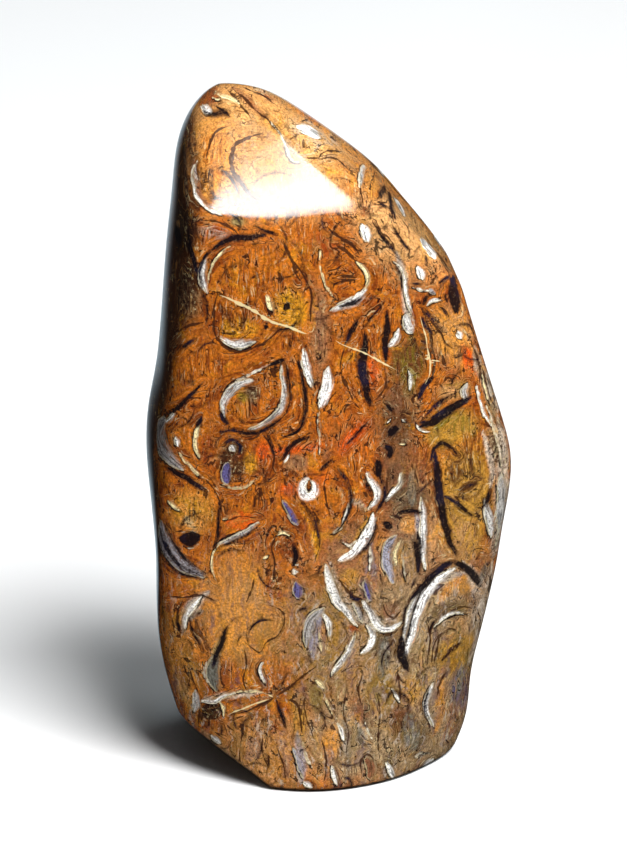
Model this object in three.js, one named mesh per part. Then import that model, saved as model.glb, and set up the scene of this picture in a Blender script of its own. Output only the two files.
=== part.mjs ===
// A free-standing piece of chocolate jasper: a natural stone ground to broad, slightly convex
// faces and polished all over. It is sawn flat underneath so that it stands, and a second,
// sloping cut lifts its lower left corner off the ground. It is one solid.
//
// Millimetres, +Z up. The broad face looks along -Y and the width runs along X. The origin is
// the middle of the stone's box, on the plane of the sawn base.

import * as THREE from "three";
import { mergeVertices } from "three/addons/utils/BufferGeometryUtils.js";

// The grinding centre: every face is placed by its distance from this point.
const CENTRE = new THREE.Vector3(0, 0, 85);

// Outline of the stone seen from the front, as [x, z], going round from the right flank over
// the top. It runs on below the sawn base, and the saw cuts take that off.
const OUTLINE = [
  [47.1, 78],
  [46.7, 86],
  [43.8, 95],
  [40.1, 106],
  [36.8, 117],
  [34, 127],
  [32.6, 132],
  [28.8, 137.4],
  [20.1, 147.8],
  [12.1, 157],
  [2.2, 165.2],
  [-8.8, 174.3],
  [-13.6, 178],
  [-19, 180],
  [-28, 180.2],
  [-33, 175],
  [-37.5, 166],
  [-39.6, 150],
  [-41.2, 135],
  [-42.4, 118],
  [-43.6, 105],
  [-46.3, 92],
  [-46.6, 82],
  [-45.4, 68],
  [-44.4, 54],
  [-44.5, 42],
  [-43.7, 32],
  [-40.3, 18],
  [-32.8, 0],
  [-20, -10],
  [5, -14],
  [28, -8],
  [37.6, 6],
  [38.6, 22],
  [41.8, 38],
  [44.6, 54],
  [45.6, 66],
];

// The flanks are ground nearly square to the front. The stone widens towards the back on its
// left and narrows on its right, by these much for each millimetre of depth. The sharpness is
// how crisp the ridge is between a flank and the front.
const FLARE = { left: 0.1, right: -0.14 };
const FLANK_SHARPNESS = { left: 26, right: 22 };

// The ground faces. Azimuth is the compass direction that the face looks in, from the front (0)
// towards the right flank (90), and tilt is how far it looks up. Distance is from CENTRE, and a
// higher sharpness gives a crisper ridge where the face meets its neighbours.
const FACES = [
  { name: "front", azimuth: 2, tilt: 2, distance: 29.5, sharpness: 16 },
  { name: "front left", azimuth: -14, tilt: 0, distance: 31, sharpness: 16 },
  { name: "front right", azimuth: 20, tilt: -3, distance: 33, sharpness: 16 },
  { name: "shoulder", azimuth: -6, tilt: 35, distance: 60.8, sharpness: 28 },
  { name: "left upper bevel", azimuth: -72, tilt: 6, distance: 46, sharpness: 34 },
  { name: "left lower bevel", azimuth: -38, tilt: -10, distance: 48, sharpness: 34 },
  { name: "toe", azimuth: 49, tilt: -12, distance: 45.8, sharpness: 16 },
  { name: "back", azimuth: 176, tilt: 4, distance: 30, sharpness: 12 },
  { name: "back left", azimuth: -146, tilt: 2, distance: 39, sharpness: 14 },
  { name: "back right", azimuth: 138, tilt: -4, distance: 40, sharpness: 14 },
  { name: "back shoulder", azimuth: 168, tilt: 48, distance: 76, sharpness: 18 },
];

// The sloping cut under the lower left corner. Its ridge with the base runs between the rim
// points nearest to these, and it rises away from there by this many degrees.
const HEEL = { frontX: -13, backX: -17, rise: 32 };

// Facet counts across the width, the depth and the height.
const SEGMENTS = { width: 24, depth: 14, height: 36 };

// Half-sizes used only to spread the facets evenly over the stone.
const SPREAD = new THREE.Vector3(46, 30, 92);

// How finely and how far out the surface is searched for along a ray.
const HALVINGS = 40;
const FARTHEST = 260;

const JASPER = new THREE.MeshStandardMaterial({ color: 0xa8662a, roughness: 0.16, metalness: 0 });

// The value in [low, high] at which reached() turns from false to true.
function crossing(low, high, reached) {
  for (let i = 0; i < HALVINGS; i++) {
    const middle = (low + high) / 2;
    if (reached(middle)) high = middle;
    else low = middle;
  }
  return (low + high) / 2;
}

// The outline as a list of { angle, reach } round CENTRE, with the angles rising from -180.
function outlineRing() {
  const corners = OUTLINE.map(([x, z]) => new THREE.Vector3(x, 0, z));
  const curve = new THREE.CatmullRomCurve3(corners, true, "centripetal");
  const ring = curve.getPoints(1440).slice(0, -1).map((point) => {
    const arm = point.sub(CENTRE);
    return { angle: Math.atan2(arm.z, arm.x), reach: Math.hypot(arm.x, arm.z) };
  });
  ring.sort((a, b) => a.angle - b.angle);
  const first = ring[0];
  const last = ring[ring.length - 1];
  const turn = 2 * Math.PI;
  ring.unshift({ angle: last.angle - turn, reach: last.reach });
  ring.push({ angle: first.angle + turn, reach: first.reach });
  return ring;
}

const RING = outlineRing();

// Distance from CENTRE to the outline in the front view.
function outlineReach(angle) {
  let low = 0;
  let high = RING.length - 1;
  while (high - low > 1) {
    const middle = (low + high) >> 1;
    if (RING[middle].angle <= angle) low = middle;
    else high = middle;
  }
  const share = (angle - RING[low].angle) / (RING[high].angle - RING[low].angle);
  return THREE.MathUtils.lerp(RING[low].reach, RING[high].reach, share);
}

function faceNormal({ azimuth, tilt }) {
  const a = THREE.MathUtils.degToRad(azimuth);
  const t = THREE.MathUtils.degToRad(tilt);
  return new THREE.Vector3(Math.sin(a) * Math.cos(t), -Math.cos(a) * Math.cos(t), Math.sin(t));
}

const NORMALS = FACES.map(faceNormal);

// Distance from CENTRE to the polished surface along a unit direction, before any saw cut.
// Faces and flanks are added up, so that they meet in rounded ridges.
function surfaceReach(direction) {
  const flat = Math.hypot(direction.x, direction.z);
  const angle = Math.atan2(direction.z, direction.x);
  const outline = outlineReach(angle);
  const leftness = 0.5 - 0.5 * Math.cos(angle);
  const flare = THREE.MathUtils.lerp(FLARE.right, FLARE.left, leftness) * direction.y;
  const flankSharpness = THREE.MathUtils.lerp(FLANK_SHARPNESS.right, FLANK_SHARPNESS.left, leftness);
  const slopes = FACES.map(({ distance }, i) => Math.max(0, NORMALS[i].dot(direction)) / distance);
  return crossing(0, FARTHEST, (reach) => {
    let sum = ((flat * reach) / (outline + flare * reach)) ** flankSharpness;
    slopes.forEach((slope, i) => {
      sum += (slope * reach) ** FACES[i].sharpness;
    });
    return sum > 1;
  });
}

function surfacePoint(azimuth, elevation) {
  const direction = new THREE.Vector3(
    Math.cos(azimuth) * Math.cos(elevation),
    Math.sin(azimuth) * Math.cos(elevation),
    Math.sin(elevation),
  );
  return direction.multiplyScalar(surfaceReach(direction)).add(CENTRE);
}

// How far down from CENTRE, as an angle, the polished surface meets a saw cut. The cut is given
// by its height over any x, y.
function rimDrop(azimuth, cutHeight) {
  return crossing(0, Math.PI / 2, (drop) => {
    const point = surfacePoint(azimuth, -drop);
    return point.z < cutHeight(point.x, point.y);
  });
}

// The box that the stone is shaped from: its four sides and its top, without the bottom.
function openBox() {
  const box = new THREE.BoxGeometry(2, 2, 2, SEGMENTS.width, SEGMENTS.depth, SEGMENTS.height);
  const bottom = box.groups[5];
  box.setIndex([...box.index.array.slice(0, bottom.start)]);
  box.clearGroups();
  box.deleteAttribute("normal");
  box.deleteAttribute("uv");
  return mergeVertices(box);
}

function cornerAzimuth(corner) {
  return Math.atan2(corner.y * SPREAD.y, corner.x * SPREAD.x);
}

// Height of the underside over any x, y: the flat base, or the heel cut where that is higher.
function undersideOf(rimAzimuths) {
  const flatBase = () => 0;
  const base = rimAzimuths.map((azimuth) => surfacePoint(azimuth, -rimDrop(azimuth, flatBase)));
  const nearest = (points, x) => points.reduce((a, b) => (Math.abs(b.x - x) < Math.abs(a.x - x) ? b : a));
  const front = nearest(base.filter((point) => point.y < 0), HEEL.frontX);
  const back = nearest(base.filter((point) => point.y > 0), HEEL.backX);
  const away = new THREE.Vector2(front.y - back.y, back.x - front.x).normalize();
  const slope = Math.tan(THREE.MathUtils.degToRad(HEEL.rise));
  return (x, y) => Math.max(0, slope * (away.x * (x - front.x) + away.y * (y - front.y)));
}

// Closes the underside with flat facets: the ring of rim corners, split along the heel's ridge.
function undersideTriangles(position, ring) {
  const heights = ring.map((i) => position.getZ(i));
  const isHeel = heights.map((z) => z > 0.01);
  const count = ring.length;
  const start = ring.findIndex((_, k) => !isHeel[k] && isHeel[(k + 1) % count]);
  const turned = ring.map((_, k) => ring[(start + k) % count]);
  const end = turned.findIndex((i, k) => k > 0 && position.getZ(i) <= 0.01);
  const heel = turned.slice(0, end + 1);
  const base = [...turned.slice(end), turned[0]];
  const triangles = [];
  for (const facet of [heel, base]) {
    const flat = facet.map((i) => new THREE.Vector2(position.getX(i), position.getY(i)));
    for (const [a, b, c] of THREE.ShapeUtils.triangulateShape(flat, [])) {
      triangles.push(facet[a], facet[c], facet[b]);
    }
  }
  return triangles;
}

function stoneGeometry() {
  const geometry = openBox();
  const position = geometry.getAttribute("position");
  const corners = Array.from({ length: position.count }, (_, i) => {
    return new THREE.Vector3().fromBufferAttribute(position, i);
  });
  const ring = corners.map((_, i) => i).filter((i) => corners[i].z < -0.999);
  ring.sort((a, b) => cornerAzimuth(corners[a]) - cornerAzimuth(corners[b]));
  const underside = undersideOf(ring.map((i) => cornerAzimuth(corners[i])));

  corners.forEach((corner, i) => {
    const azimuth = cornerAzimuth(corner);
    const sideways = Math.hypot(corner.x * SPREAD.x, corner.y * SPREAD.y);
    let elevation = Math.atan2(corner.z * SPREAD.z, sideways);
    if (corner.z < 0) {
      const lowest = Math.atan2(SPREAD.z, sideways);
      elevation *= rimDrop(azimuth, underside) / lowest;
    }
    const point = surfacePoint(azimuth, elevation);
    position.setXYZ(i, point.x, point.y, point.z);
  });
  for (const i of ring) {
    position.setZ(i, underside(position.getX(i), position.getY(i)));
  }

  geometry.setIndex([...geometry.index.array, ...undersideTriangles(position, ring)]);
  geometry.computeBoundingBox();
  const { min, max } = geometry.boundingBox;
  geometry.translate(-(min.x + max.x) / 2, -(min.y + max.y) / 2, 0);
  geometry.computeVertexNormals();
  return geometry;
}

const stone = new THREE.Mesh(stoneGeometry(), JASPER);
stone.name = "jasper_stone";

const part = new THREE.Group();
part.name = "chocolate_jasper";
part.add(stone);

export default part;
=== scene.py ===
"""Chocolate jasper: a polished standing stone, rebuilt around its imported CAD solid."""

import math

import bmesh
import bpy
import numpy as np
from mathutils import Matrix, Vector, noise


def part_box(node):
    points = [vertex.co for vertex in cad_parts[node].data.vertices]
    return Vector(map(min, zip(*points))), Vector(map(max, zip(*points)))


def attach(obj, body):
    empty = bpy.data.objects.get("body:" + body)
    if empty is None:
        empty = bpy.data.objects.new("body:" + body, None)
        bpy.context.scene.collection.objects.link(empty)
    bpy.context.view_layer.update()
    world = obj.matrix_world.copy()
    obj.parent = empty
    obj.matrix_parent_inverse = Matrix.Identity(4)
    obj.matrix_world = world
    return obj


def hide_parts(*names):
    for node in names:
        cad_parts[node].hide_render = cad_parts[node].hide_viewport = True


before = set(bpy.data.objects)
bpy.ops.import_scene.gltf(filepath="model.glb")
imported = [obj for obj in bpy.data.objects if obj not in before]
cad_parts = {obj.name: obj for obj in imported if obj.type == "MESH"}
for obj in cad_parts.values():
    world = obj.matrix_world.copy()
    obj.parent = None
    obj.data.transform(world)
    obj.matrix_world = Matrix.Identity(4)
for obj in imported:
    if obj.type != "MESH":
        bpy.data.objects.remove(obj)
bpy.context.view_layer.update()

STONE = "jasper_stone"
LOW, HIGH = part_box(STONE)
SIZE = HIGH - LOW
MIDDLE = Vector((0, 0, SIZE.z / 2))
MM = 0.001

# Camera: above the stone's front and tilted down, as in the photo. AIM is the point of the
# scene at the middle of the picture, and VIEW_HEIGHT is the height of the view there.
CAMERA_ELEVATION = math.radians(18)
CAMERA_DISTANCE = 0.95
AIM = MIDDLE + Vector((-0.0036, 0, 0.0003))
VIEW_HEIGHT = 0.2186
PICTURE = (627, 844)
MM_PER_PIXEL = VIEW_HEIGHT / MM / PICTURE[1]
SENSOR = 36

# The mesh. Points of the CAD solid nearer than WELD are one. Facets of a saw cut look down at
# least as much as SAWN_NORMAL, and differ by less than FLAT_ANGLE. An edge sharper than RIM_ANGLE
# is a sawn rim, and gets an eased strip RIM_EASE wide. JOIN_ANGLES say how bent and how askew two
# triangles may be that are joined to a quad.
WELD = 0.02 * MM
SAWN_NORMAL = -0.8
FLAT_ANGLE = 0.002
RIM_ANGLE = math.radians(28)
RIM_EASE = 0.9 * MM
JOIN_ANGLES = {
    "angle_face_threshold": math.radians(60),
    "angle_shape_threshold": math.radians(70),
}

# How often the cage is divided, and how squarely a facet faces the camera, from 0 to 1, where it
# is halved once more.
DIVISIONS = 2
FACING_LIMIT = 0.72

# Evening out: its rounds, and how far each moves a vertex to the middle of its neighbours. It
# leaves the stone as it is up to HELD_HEIGHT, and is at its full strength HELD_FADE higher, both
# in mm.
RELAX_ROUNDS = 12
RELAX_SHARE = 0.5
HELD_HEIGHT = 1.5
HELD_FADE = 3

# Marks, in mm: how far round a stroke and round a line their fields are worked out, how far from
# a mark the ground's fibres follow it, how far marks sway from their drawn places, and gaps that
# keep apart the fibres of two strokes, of two sheets, and of the lenses and all other marks.
REACH = 7.0
LINE_REACH = 1.2
FLOW_REACH = 2.2
SWAY = 0.35
STROKE_GAP = 7.3
SHEET_GAP = 5.1
KIND_GAP = 900

# A stroke keeps to its trend in depth: past DEPTH_REACH, in mm, it fades by DEPTH_FADE for each
# mm. The trend needs more vertices than FEWEST_FOR_TREND.
DEPTH_REACH = 3.0
DEPTH_FADE = 0.7
FEWEST_FOR_TREND = 8

# The border between the listed marks and the random ones: how squarely the surface faces the
# camera there, its depths in mm, and how far it sways, in mm.
BORDER_TURNS = (0.02, 0.12)
BORDER_DEPTHS = (-5, 5)
BORDER_SWAY = 9

# Steps that a mark's smooth curve takes from one of its points to the next.
STEPS_BETWEEN_POINTS = 6

# Curved sheets that make up the random marks: seed, count, and the ranges of their radius and
# half width in mm and of how far round they reach in radians. SHEET_SCATTER is how far their
# centres stray from the surface, DASH_CLEARANCE the distances from other marks at which the dashes
# set in, both in mm, and SHEET_TONES the tones of the pale ones, as for the lenses below.
PALE_SHEET_COUNT = 330
PALE_SHEETS = (11, PALE_SHEET_COUNT, (3, 11), (0.6, 1.9), (0.4, 1.1))
DARK_SHEETS = (12, 400, (3, 14), (0.3, 0.9), (0.4, 1.0))
DASHES = (13, 800, (2, 7), (0.12, 0.32), (0.3, 0.8))
SHEET_SCATTER = 1.5
DASH_CLEARANCE = (0.2, 1.0)
SHEET_TONES = (0.3, 1)

# The ground of the sides and the back: heights in mm between which it turns from greyer to plain
# and from plain to paler, how far those sway, in mm, how strong both tints are, and how speckled it
# is. A cloud sets in between the values CLOUD_EDGE of its noise.
FOOT_HEIGHTS = (30, 80)
CROWN_HEIGHTS = (125, 165)
HEIGHT_SWAY = 16
HEIGHT_TINT = 0.8
REAR_SPECKLE = 0.3
CLOUD_EDGE = (0.1, 0.45)

# The polish: range of the roughness, and the refractive index of chalcedony.
POLISH = (0.06, 0.16)
JASPER_IOR = 1.54

# Lights: azimuth and elevation in degrees, distance and size in metres, how bright a white floor
# facing the light would be, and its colour. Those named in STONE_LIGHTS light the stone alone.
LIGHTS = {
    "key": (35, 53, 4, (1.9, 1.9), 1.87, (1, 1, 1)),
    "front_fill": (-12, 4, 3, (1, 0.3), 0.34, (1, 1, 1)),
    "side_fill": (112, 36, 2.6, (2.8, 2.2), 0.32, (0.84, 0.95, 1)),
    "back_light": (178, 24, 3, (2, 1.4), 0.9, (1, 1, 1)),
}
STONE_LIGHTS = ("front_fill", "back_light")

# Panels for reflections. The softbox's place is azimuth, elevation and distance. The back card
# fades to both sides, by the direction from a point BACK_CARD_SHIFT left of the stone's middle.
SOFTBOX_PLACE = (-8, 47, 2)
SOFTBOX_SIZE = (1.35, 1.7)
SOFTBOX_STRENGTH = 22.0
BACK_CARD_PLACE = Vector((-0.3, 1.22, 0.002))
BACK_CARD_SIZE = (1.6, 2.4)
BACK_CARD_TINT = (0.7, 0.88, 1)
BACK_CARD_STRENGTH = 0.6
BACK_CARD_SHIFT = 0.04

# The room: a pale wall round the floor, whose glow rises from the floor up, and dim air, a little
# brighter in reflections.
WALL_RADIUS = 2.95
WALL_HEIGHT = 2.5
WALL_TINT = (0.95, 0.98, 1, 1)
WALL_STRENGTHS = (0.55, 0.95)
FLOOR_REACH = 3
FLOOR_TINT = (0.9, 0.9, 0.9, 1)
ROOM_TINT = (0.78, 0.92, 1, 1)
ROOM_STRENGTHS = (0.006, 0.03)
BLACK = (0, 0, 0, 1)

# Colours of the stone, as sRGB.
COLOURS = {
    "orange": "b4631a",
    "peach": "bd8449",
    "light orange": "c68439",
    "tan": "c08a55",
    "washed": "cf9a5c",
    "yellow": "d2921f",
    "red": "cc4f14",
    "red brown": "8a3d16",
    "mauve": "83553a",
    "brown": "5e371c",
    "dark brown": "3a2013",
    "olive": "8a7526",
    "grey olive": "857248",
    "grey brown": "8b6e50",
    "ink": "120c10",
    "navy": "17172b",
    "white": "f2efea",
    "grey": "9c968f",
    "lavender": "8d8b9a",
    "cream": "ecd9a4",
    "pale": "c9b9a6",
    "pink": "b98a68",
    "ochre": "a87a30",
    "slate": "66645a",
    "violet": "57507c",
    "sand": "a08460",
    "moss": "7c6434",
    "umber": "5f4c38",
    "plum": "6a5560",
}

# Soft areas of ground colour, with painted light on the lower left facet: centre and radii in
# pixels of the photo, turn in degrees, main and second colour, softness of the edge from 0 to 1,
# and how speckled it is, from -0.6 where it is calm to 1. Later areas lie over earlier ones.
ZONES = {
    "whole front": ((330, 440), (400, 500), 0, "orange", "red brown", 0.1, 0.0),
    "top": ((270, 130), (130, 95), 0, "peach", "washed", 0.5, -0.3),
    "top haze": ((215, 165), (28, 60), 0, "light orange", "orange", 0.7, -0.1),
    "right shoulder": ((400, 230), (75, 50), 40, "tan", "washed", 0.6, 0.2),
    "plain lower left": ((244, 612), (60, 72), -12, "light orange", "tan", 0.7, -0.6),
    "lower right": ((420, 640), (110, 120), 0, "sand", "grey brown", 0.7, -0.15),
    "lower middle": ((330, 640), (60, 90), 0, "grey brown", "ochre", 0.7, -0.1),
    "foot": ((385, 742), (120, 56), 0, "sand", "grey brown", 0.6, 0.05),
    "foot left": ((265, 755), (60, 42), 30, "tan", "light orange", 0.7, 0.15),
    "right middle": ((466, 495), (42, 72), 0, "ochre", "brown", 0.7, 0.0),
    "right upper": ((452, 335), (28, 40), -15, "light orange", "tan", 0.6, 0.15),
    "brown centre": ((398, 420), (26, 50), 0, "brown", "grey brown", 0.7, 0.6),
    "brown upper": ((409, 361), (23, 38), 0, "brown", "olive", 0.7, 0.4),
    "brown seam": ((320, 330), (13, 64), 0, "mauve", "tan", 0.8, 0.5),
    "brown lower seam": ((345, 545), (30, 40), 30, "mauve", "tan", 0.8, 0.4),
    "brown right seam": ((406, 494), (37, 56), 0, "umber", "mauve", 0.8, 0.2),
    "left shoulder": ((189, 296), (15, 34), 5, "brown", "tan", 0.5, 0.8),
    "left shoulder top": ((186, 230), (17, 36), 0, "dark brown", "brown", 0.6, 0.3),
    "breccia": ((232, 460), (17, 27), 6, "brown", "dark brown", 0.5, 1.0),
    "red heart": ((348, 440), (26, 28), -25, "red", "light orange", 0.8, 0.0),
    "red drop": ((330, 478), (20, 16), 0, "red", "mauve", 0.9, 0.0),
    "red left": ((289, 489), (13, 10), 0, "red", "mauve", 0.7, 0.0),
    "red edge": ((469, 361), (8, 19), -20, "red", "light orange", 0.5, 0.0),
    "red diamond": ((240, 521), (17, 10), 4, "red", "light orange", 0.2, -0.4),
    "red under the eye": ((264, 452), (12, 16), 0, "red", "red brown", 0.9, 0.3),
    "red by the ink": ((372, 372), (9, 22), 0, "red", "brown", 0.8, 0.1),
    "red arc": ((290, 450), (60, 6), -8, "red", "mauve", 0.9, 0.0),
    "olive leaf": ((450, 428), (32, 22), -20, "ochre", "olive", 0.5, -0.2),
    "olive foot": ((382, 692), (20, 24), 0, "moss", "ochre", 0.5, -0.2),
    "olive band": ((450, 609), (24, 9), -15, "umber", "moss", 0.5, -0.2),
    "mauve cell": ((297, 463), (15, 9), 0, "mauve", "tan", 0.4, 0.2),
    "mauve pocket": ((391, 611), (12, 9), 0, "mauve", "grey brown", 0.4, 0.0),
    "yellow corner": ((290, 309), (20, 23), 0, "yellow", "orange", 0.5, 0.7),
    "yellow floor": ((238, 328), (22, 12), 0, "yellow", "orange", 0.5, 0.8),
    "yellow left": ((192, 512), (26, 26), 0, "light orange", "yellow", 0.7, 0.7),
    "eye": ((254, 400), (24, 24), 0, "orange", "red brown", 0.6, 0.2),
    "eye pupil": ((253, 394), (9, 12), 0, "dark brown", "grey brown", 0.6, 1.0),
    "speckled stem": ((275, 582), (15, 26), 0, "red brown", "light orange", 0.8, 1.0),
    "brown ring": ((287, 548), (12, 16), 0, "red brown", "dark brown", 0.6, 0.8),
    "orange cell": ((337, 492), (13, 24), 0, "orange", "light orange", 0.4, 0.0),
    "grey oval ground": ((408, 555), (30, 36), 0, "grey brown", "mauve", 0.6, 0.1),
    "pit": ((211, 711), (11, 10), 8, "ink", "brown", 0.2, 1.0),
    "right edge dark": ((496, 446), (11, 30), -8, "grey brown", "dark brown", 0.6, 1.0),
    "right edge grey": ((488, 392), (7, 40), -16, "grey brown", "grey olive", 0.6, 0.2),
    "brown foot": ((400, 722), (16, 22), 0, "brown", "mauve", 0.7, 0.4),
    "lower right tan": ((455, 640), (12, 26), 15, "tan", "grey olive", 0.6, 0.0),
    "crown red": ((209, 97), (14, 12), -30, "red brown", "mauve", 0.8, 0.3),
    "under the shoulder": ((237, 221), (10, 7), 0, "grey olive", "olive", 0.6, 0.2),
    "under the shoulder left": ((215, 231), (18, 9), 0, "red brown", "pale", 0.7, 0.3),
    "inside the shoulder arc": ((207, 182), (9, 20), -12, "light orange", "brown", 0.6, 0.9),
    "crest lobe": ((372, 186), (9, 18), -8, "light orange", "orange", 0.4, 0.0),
    "crest red": ((365, 211), (6, 6), 0, "red brown", "tan", 0.6, 0.2),
    "below the highlight": ((325, 245), (26, 18), 20, "red brown", "light orange", 0.8, 0.2),
    "beside the oval": ((190, 284), (13, 30), 5, "dark brown", "grey brown", 0.6, 0.9),
    "needle foot": ((386, 353), (5, 9), 0, "red brown", "dark brown", 0.5, 0.5),
    "eye pupil side": ((243, 397), (7, 8), 0, "olive", "brown", 0.8, 0.3),
    "breccia yellow": ((250, 463), (8, 13), 0, "yellow", "light orange", 0.7, 0.8),
    "left of the breccia": ((208, 452), (9, 22), 0, "red brown", "orange", 0.6, 0.7),
    "mauve by the heart": ((327, 455), (7, 8), 0, "mauve", "grey brown", 0.6, 0.1),
    "ochre right": ((463, 535), (18, 30), 0, "ochre", "tan", 0.6, -0.2),
    "tan box": ((409, 525), (9, 10), 0, "tan", "light orange", 0.3, 0.0),
    # Painted light: the orange ground of the lower left facet is painted lighter, so that it looks lit.
    "left low facet with painted light": ((182, 655), (20, 50), -12, "light orange", "orange", 0.7, 0.1),
    "grey oval": ((407, 562), (12, 24), 0, "grey brown", "ochre", 0.4, 0.2),
    "pod inside": ((324, 633), (5, 10), 0, "tan", "brown", 0.5, 0.2),
    "red brown by the lens": ((354, 629), (7, 5), 0, "red brown", "brown", 0.5, 0.4),
    "star specks": ((273, 727), (11, 9), 0, "red brown", "light orange", 0.8, 0.9),
    "foot orange": ((331, 743), (12, 20), 0, "light orange", "tan", 0.5, 0.0),
    "right of the swoosh": ((456, 655), (30, 24), -20, "ochre", "moss", 0.5, -0.3),
    "inside the swoosh": ((464, 583), (12, 12), -30, "light orange", "tan", 0.6, -0.2),
    "ochre foot": ((411, 690), (13, 19), 10, "ochre", "tan", 0.5, -0.2),
    "dark foot": ((413, 736), (17, 22), 0, "umber", "moss", 0.6, 0.1),
    "right foot plum": ((461, 695), (11, 20), 8, "plum", "umber", 0.6, 0.1),
    "foot ochre left": ((299, 714), (11, 26), -6, "ochre", "light orange", 0.6, 0.0),
    "foot olive left": ((316, 697), (9, 18), 0, "moss", "grey brown", 0.6, 0.1),
    "foot brown": ((361, 712), (12, 13), 0, "mauve", "umber", 0.6, 0.2),
    "foot brown low": ((388, 768), (8, 18), 0, "umber", "plum", 0.6, 0.1),
    "plum streaks": ((366, 589), (8, 15), 0, "plum", "umber", 0.6, 0.2),
    "ochre box": ((350, 577), (11, 10), 20, "ochre", "light orange", 0.4, 0.0),
    "between the veins": ((384, 640), (20, 24), 0, "umber", "ochre", 0.7, -0.1),
    "centre left warm": ((345, 470), (30, 60), 0, "orange", "red brown", 0.8, 0.0),
    "crown brown": ((186, 135), (9, 26), 12, "brown", "red brown", 0.7, 0.4),
    "crown ring": ((247, 119), (11, 9), 0, "washed", "tan", 0.5, 0.0),
    "crown right": ((268, 95), (16, 7), 28, "tan", "red brown", 0.7, 0.5),
    "crest pale": ((314, 138), (30, 34), 30, "washed", "pale", 0.9, 0.0),
    "tan over the leaf": ((453, 390), (20, 13), -8, "tan", "ochre", 0.6, 0.1),
    "red streak": ((352, 438), (26, 9), -48, "red", "red", 0.6, -0.3),
}
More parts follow.
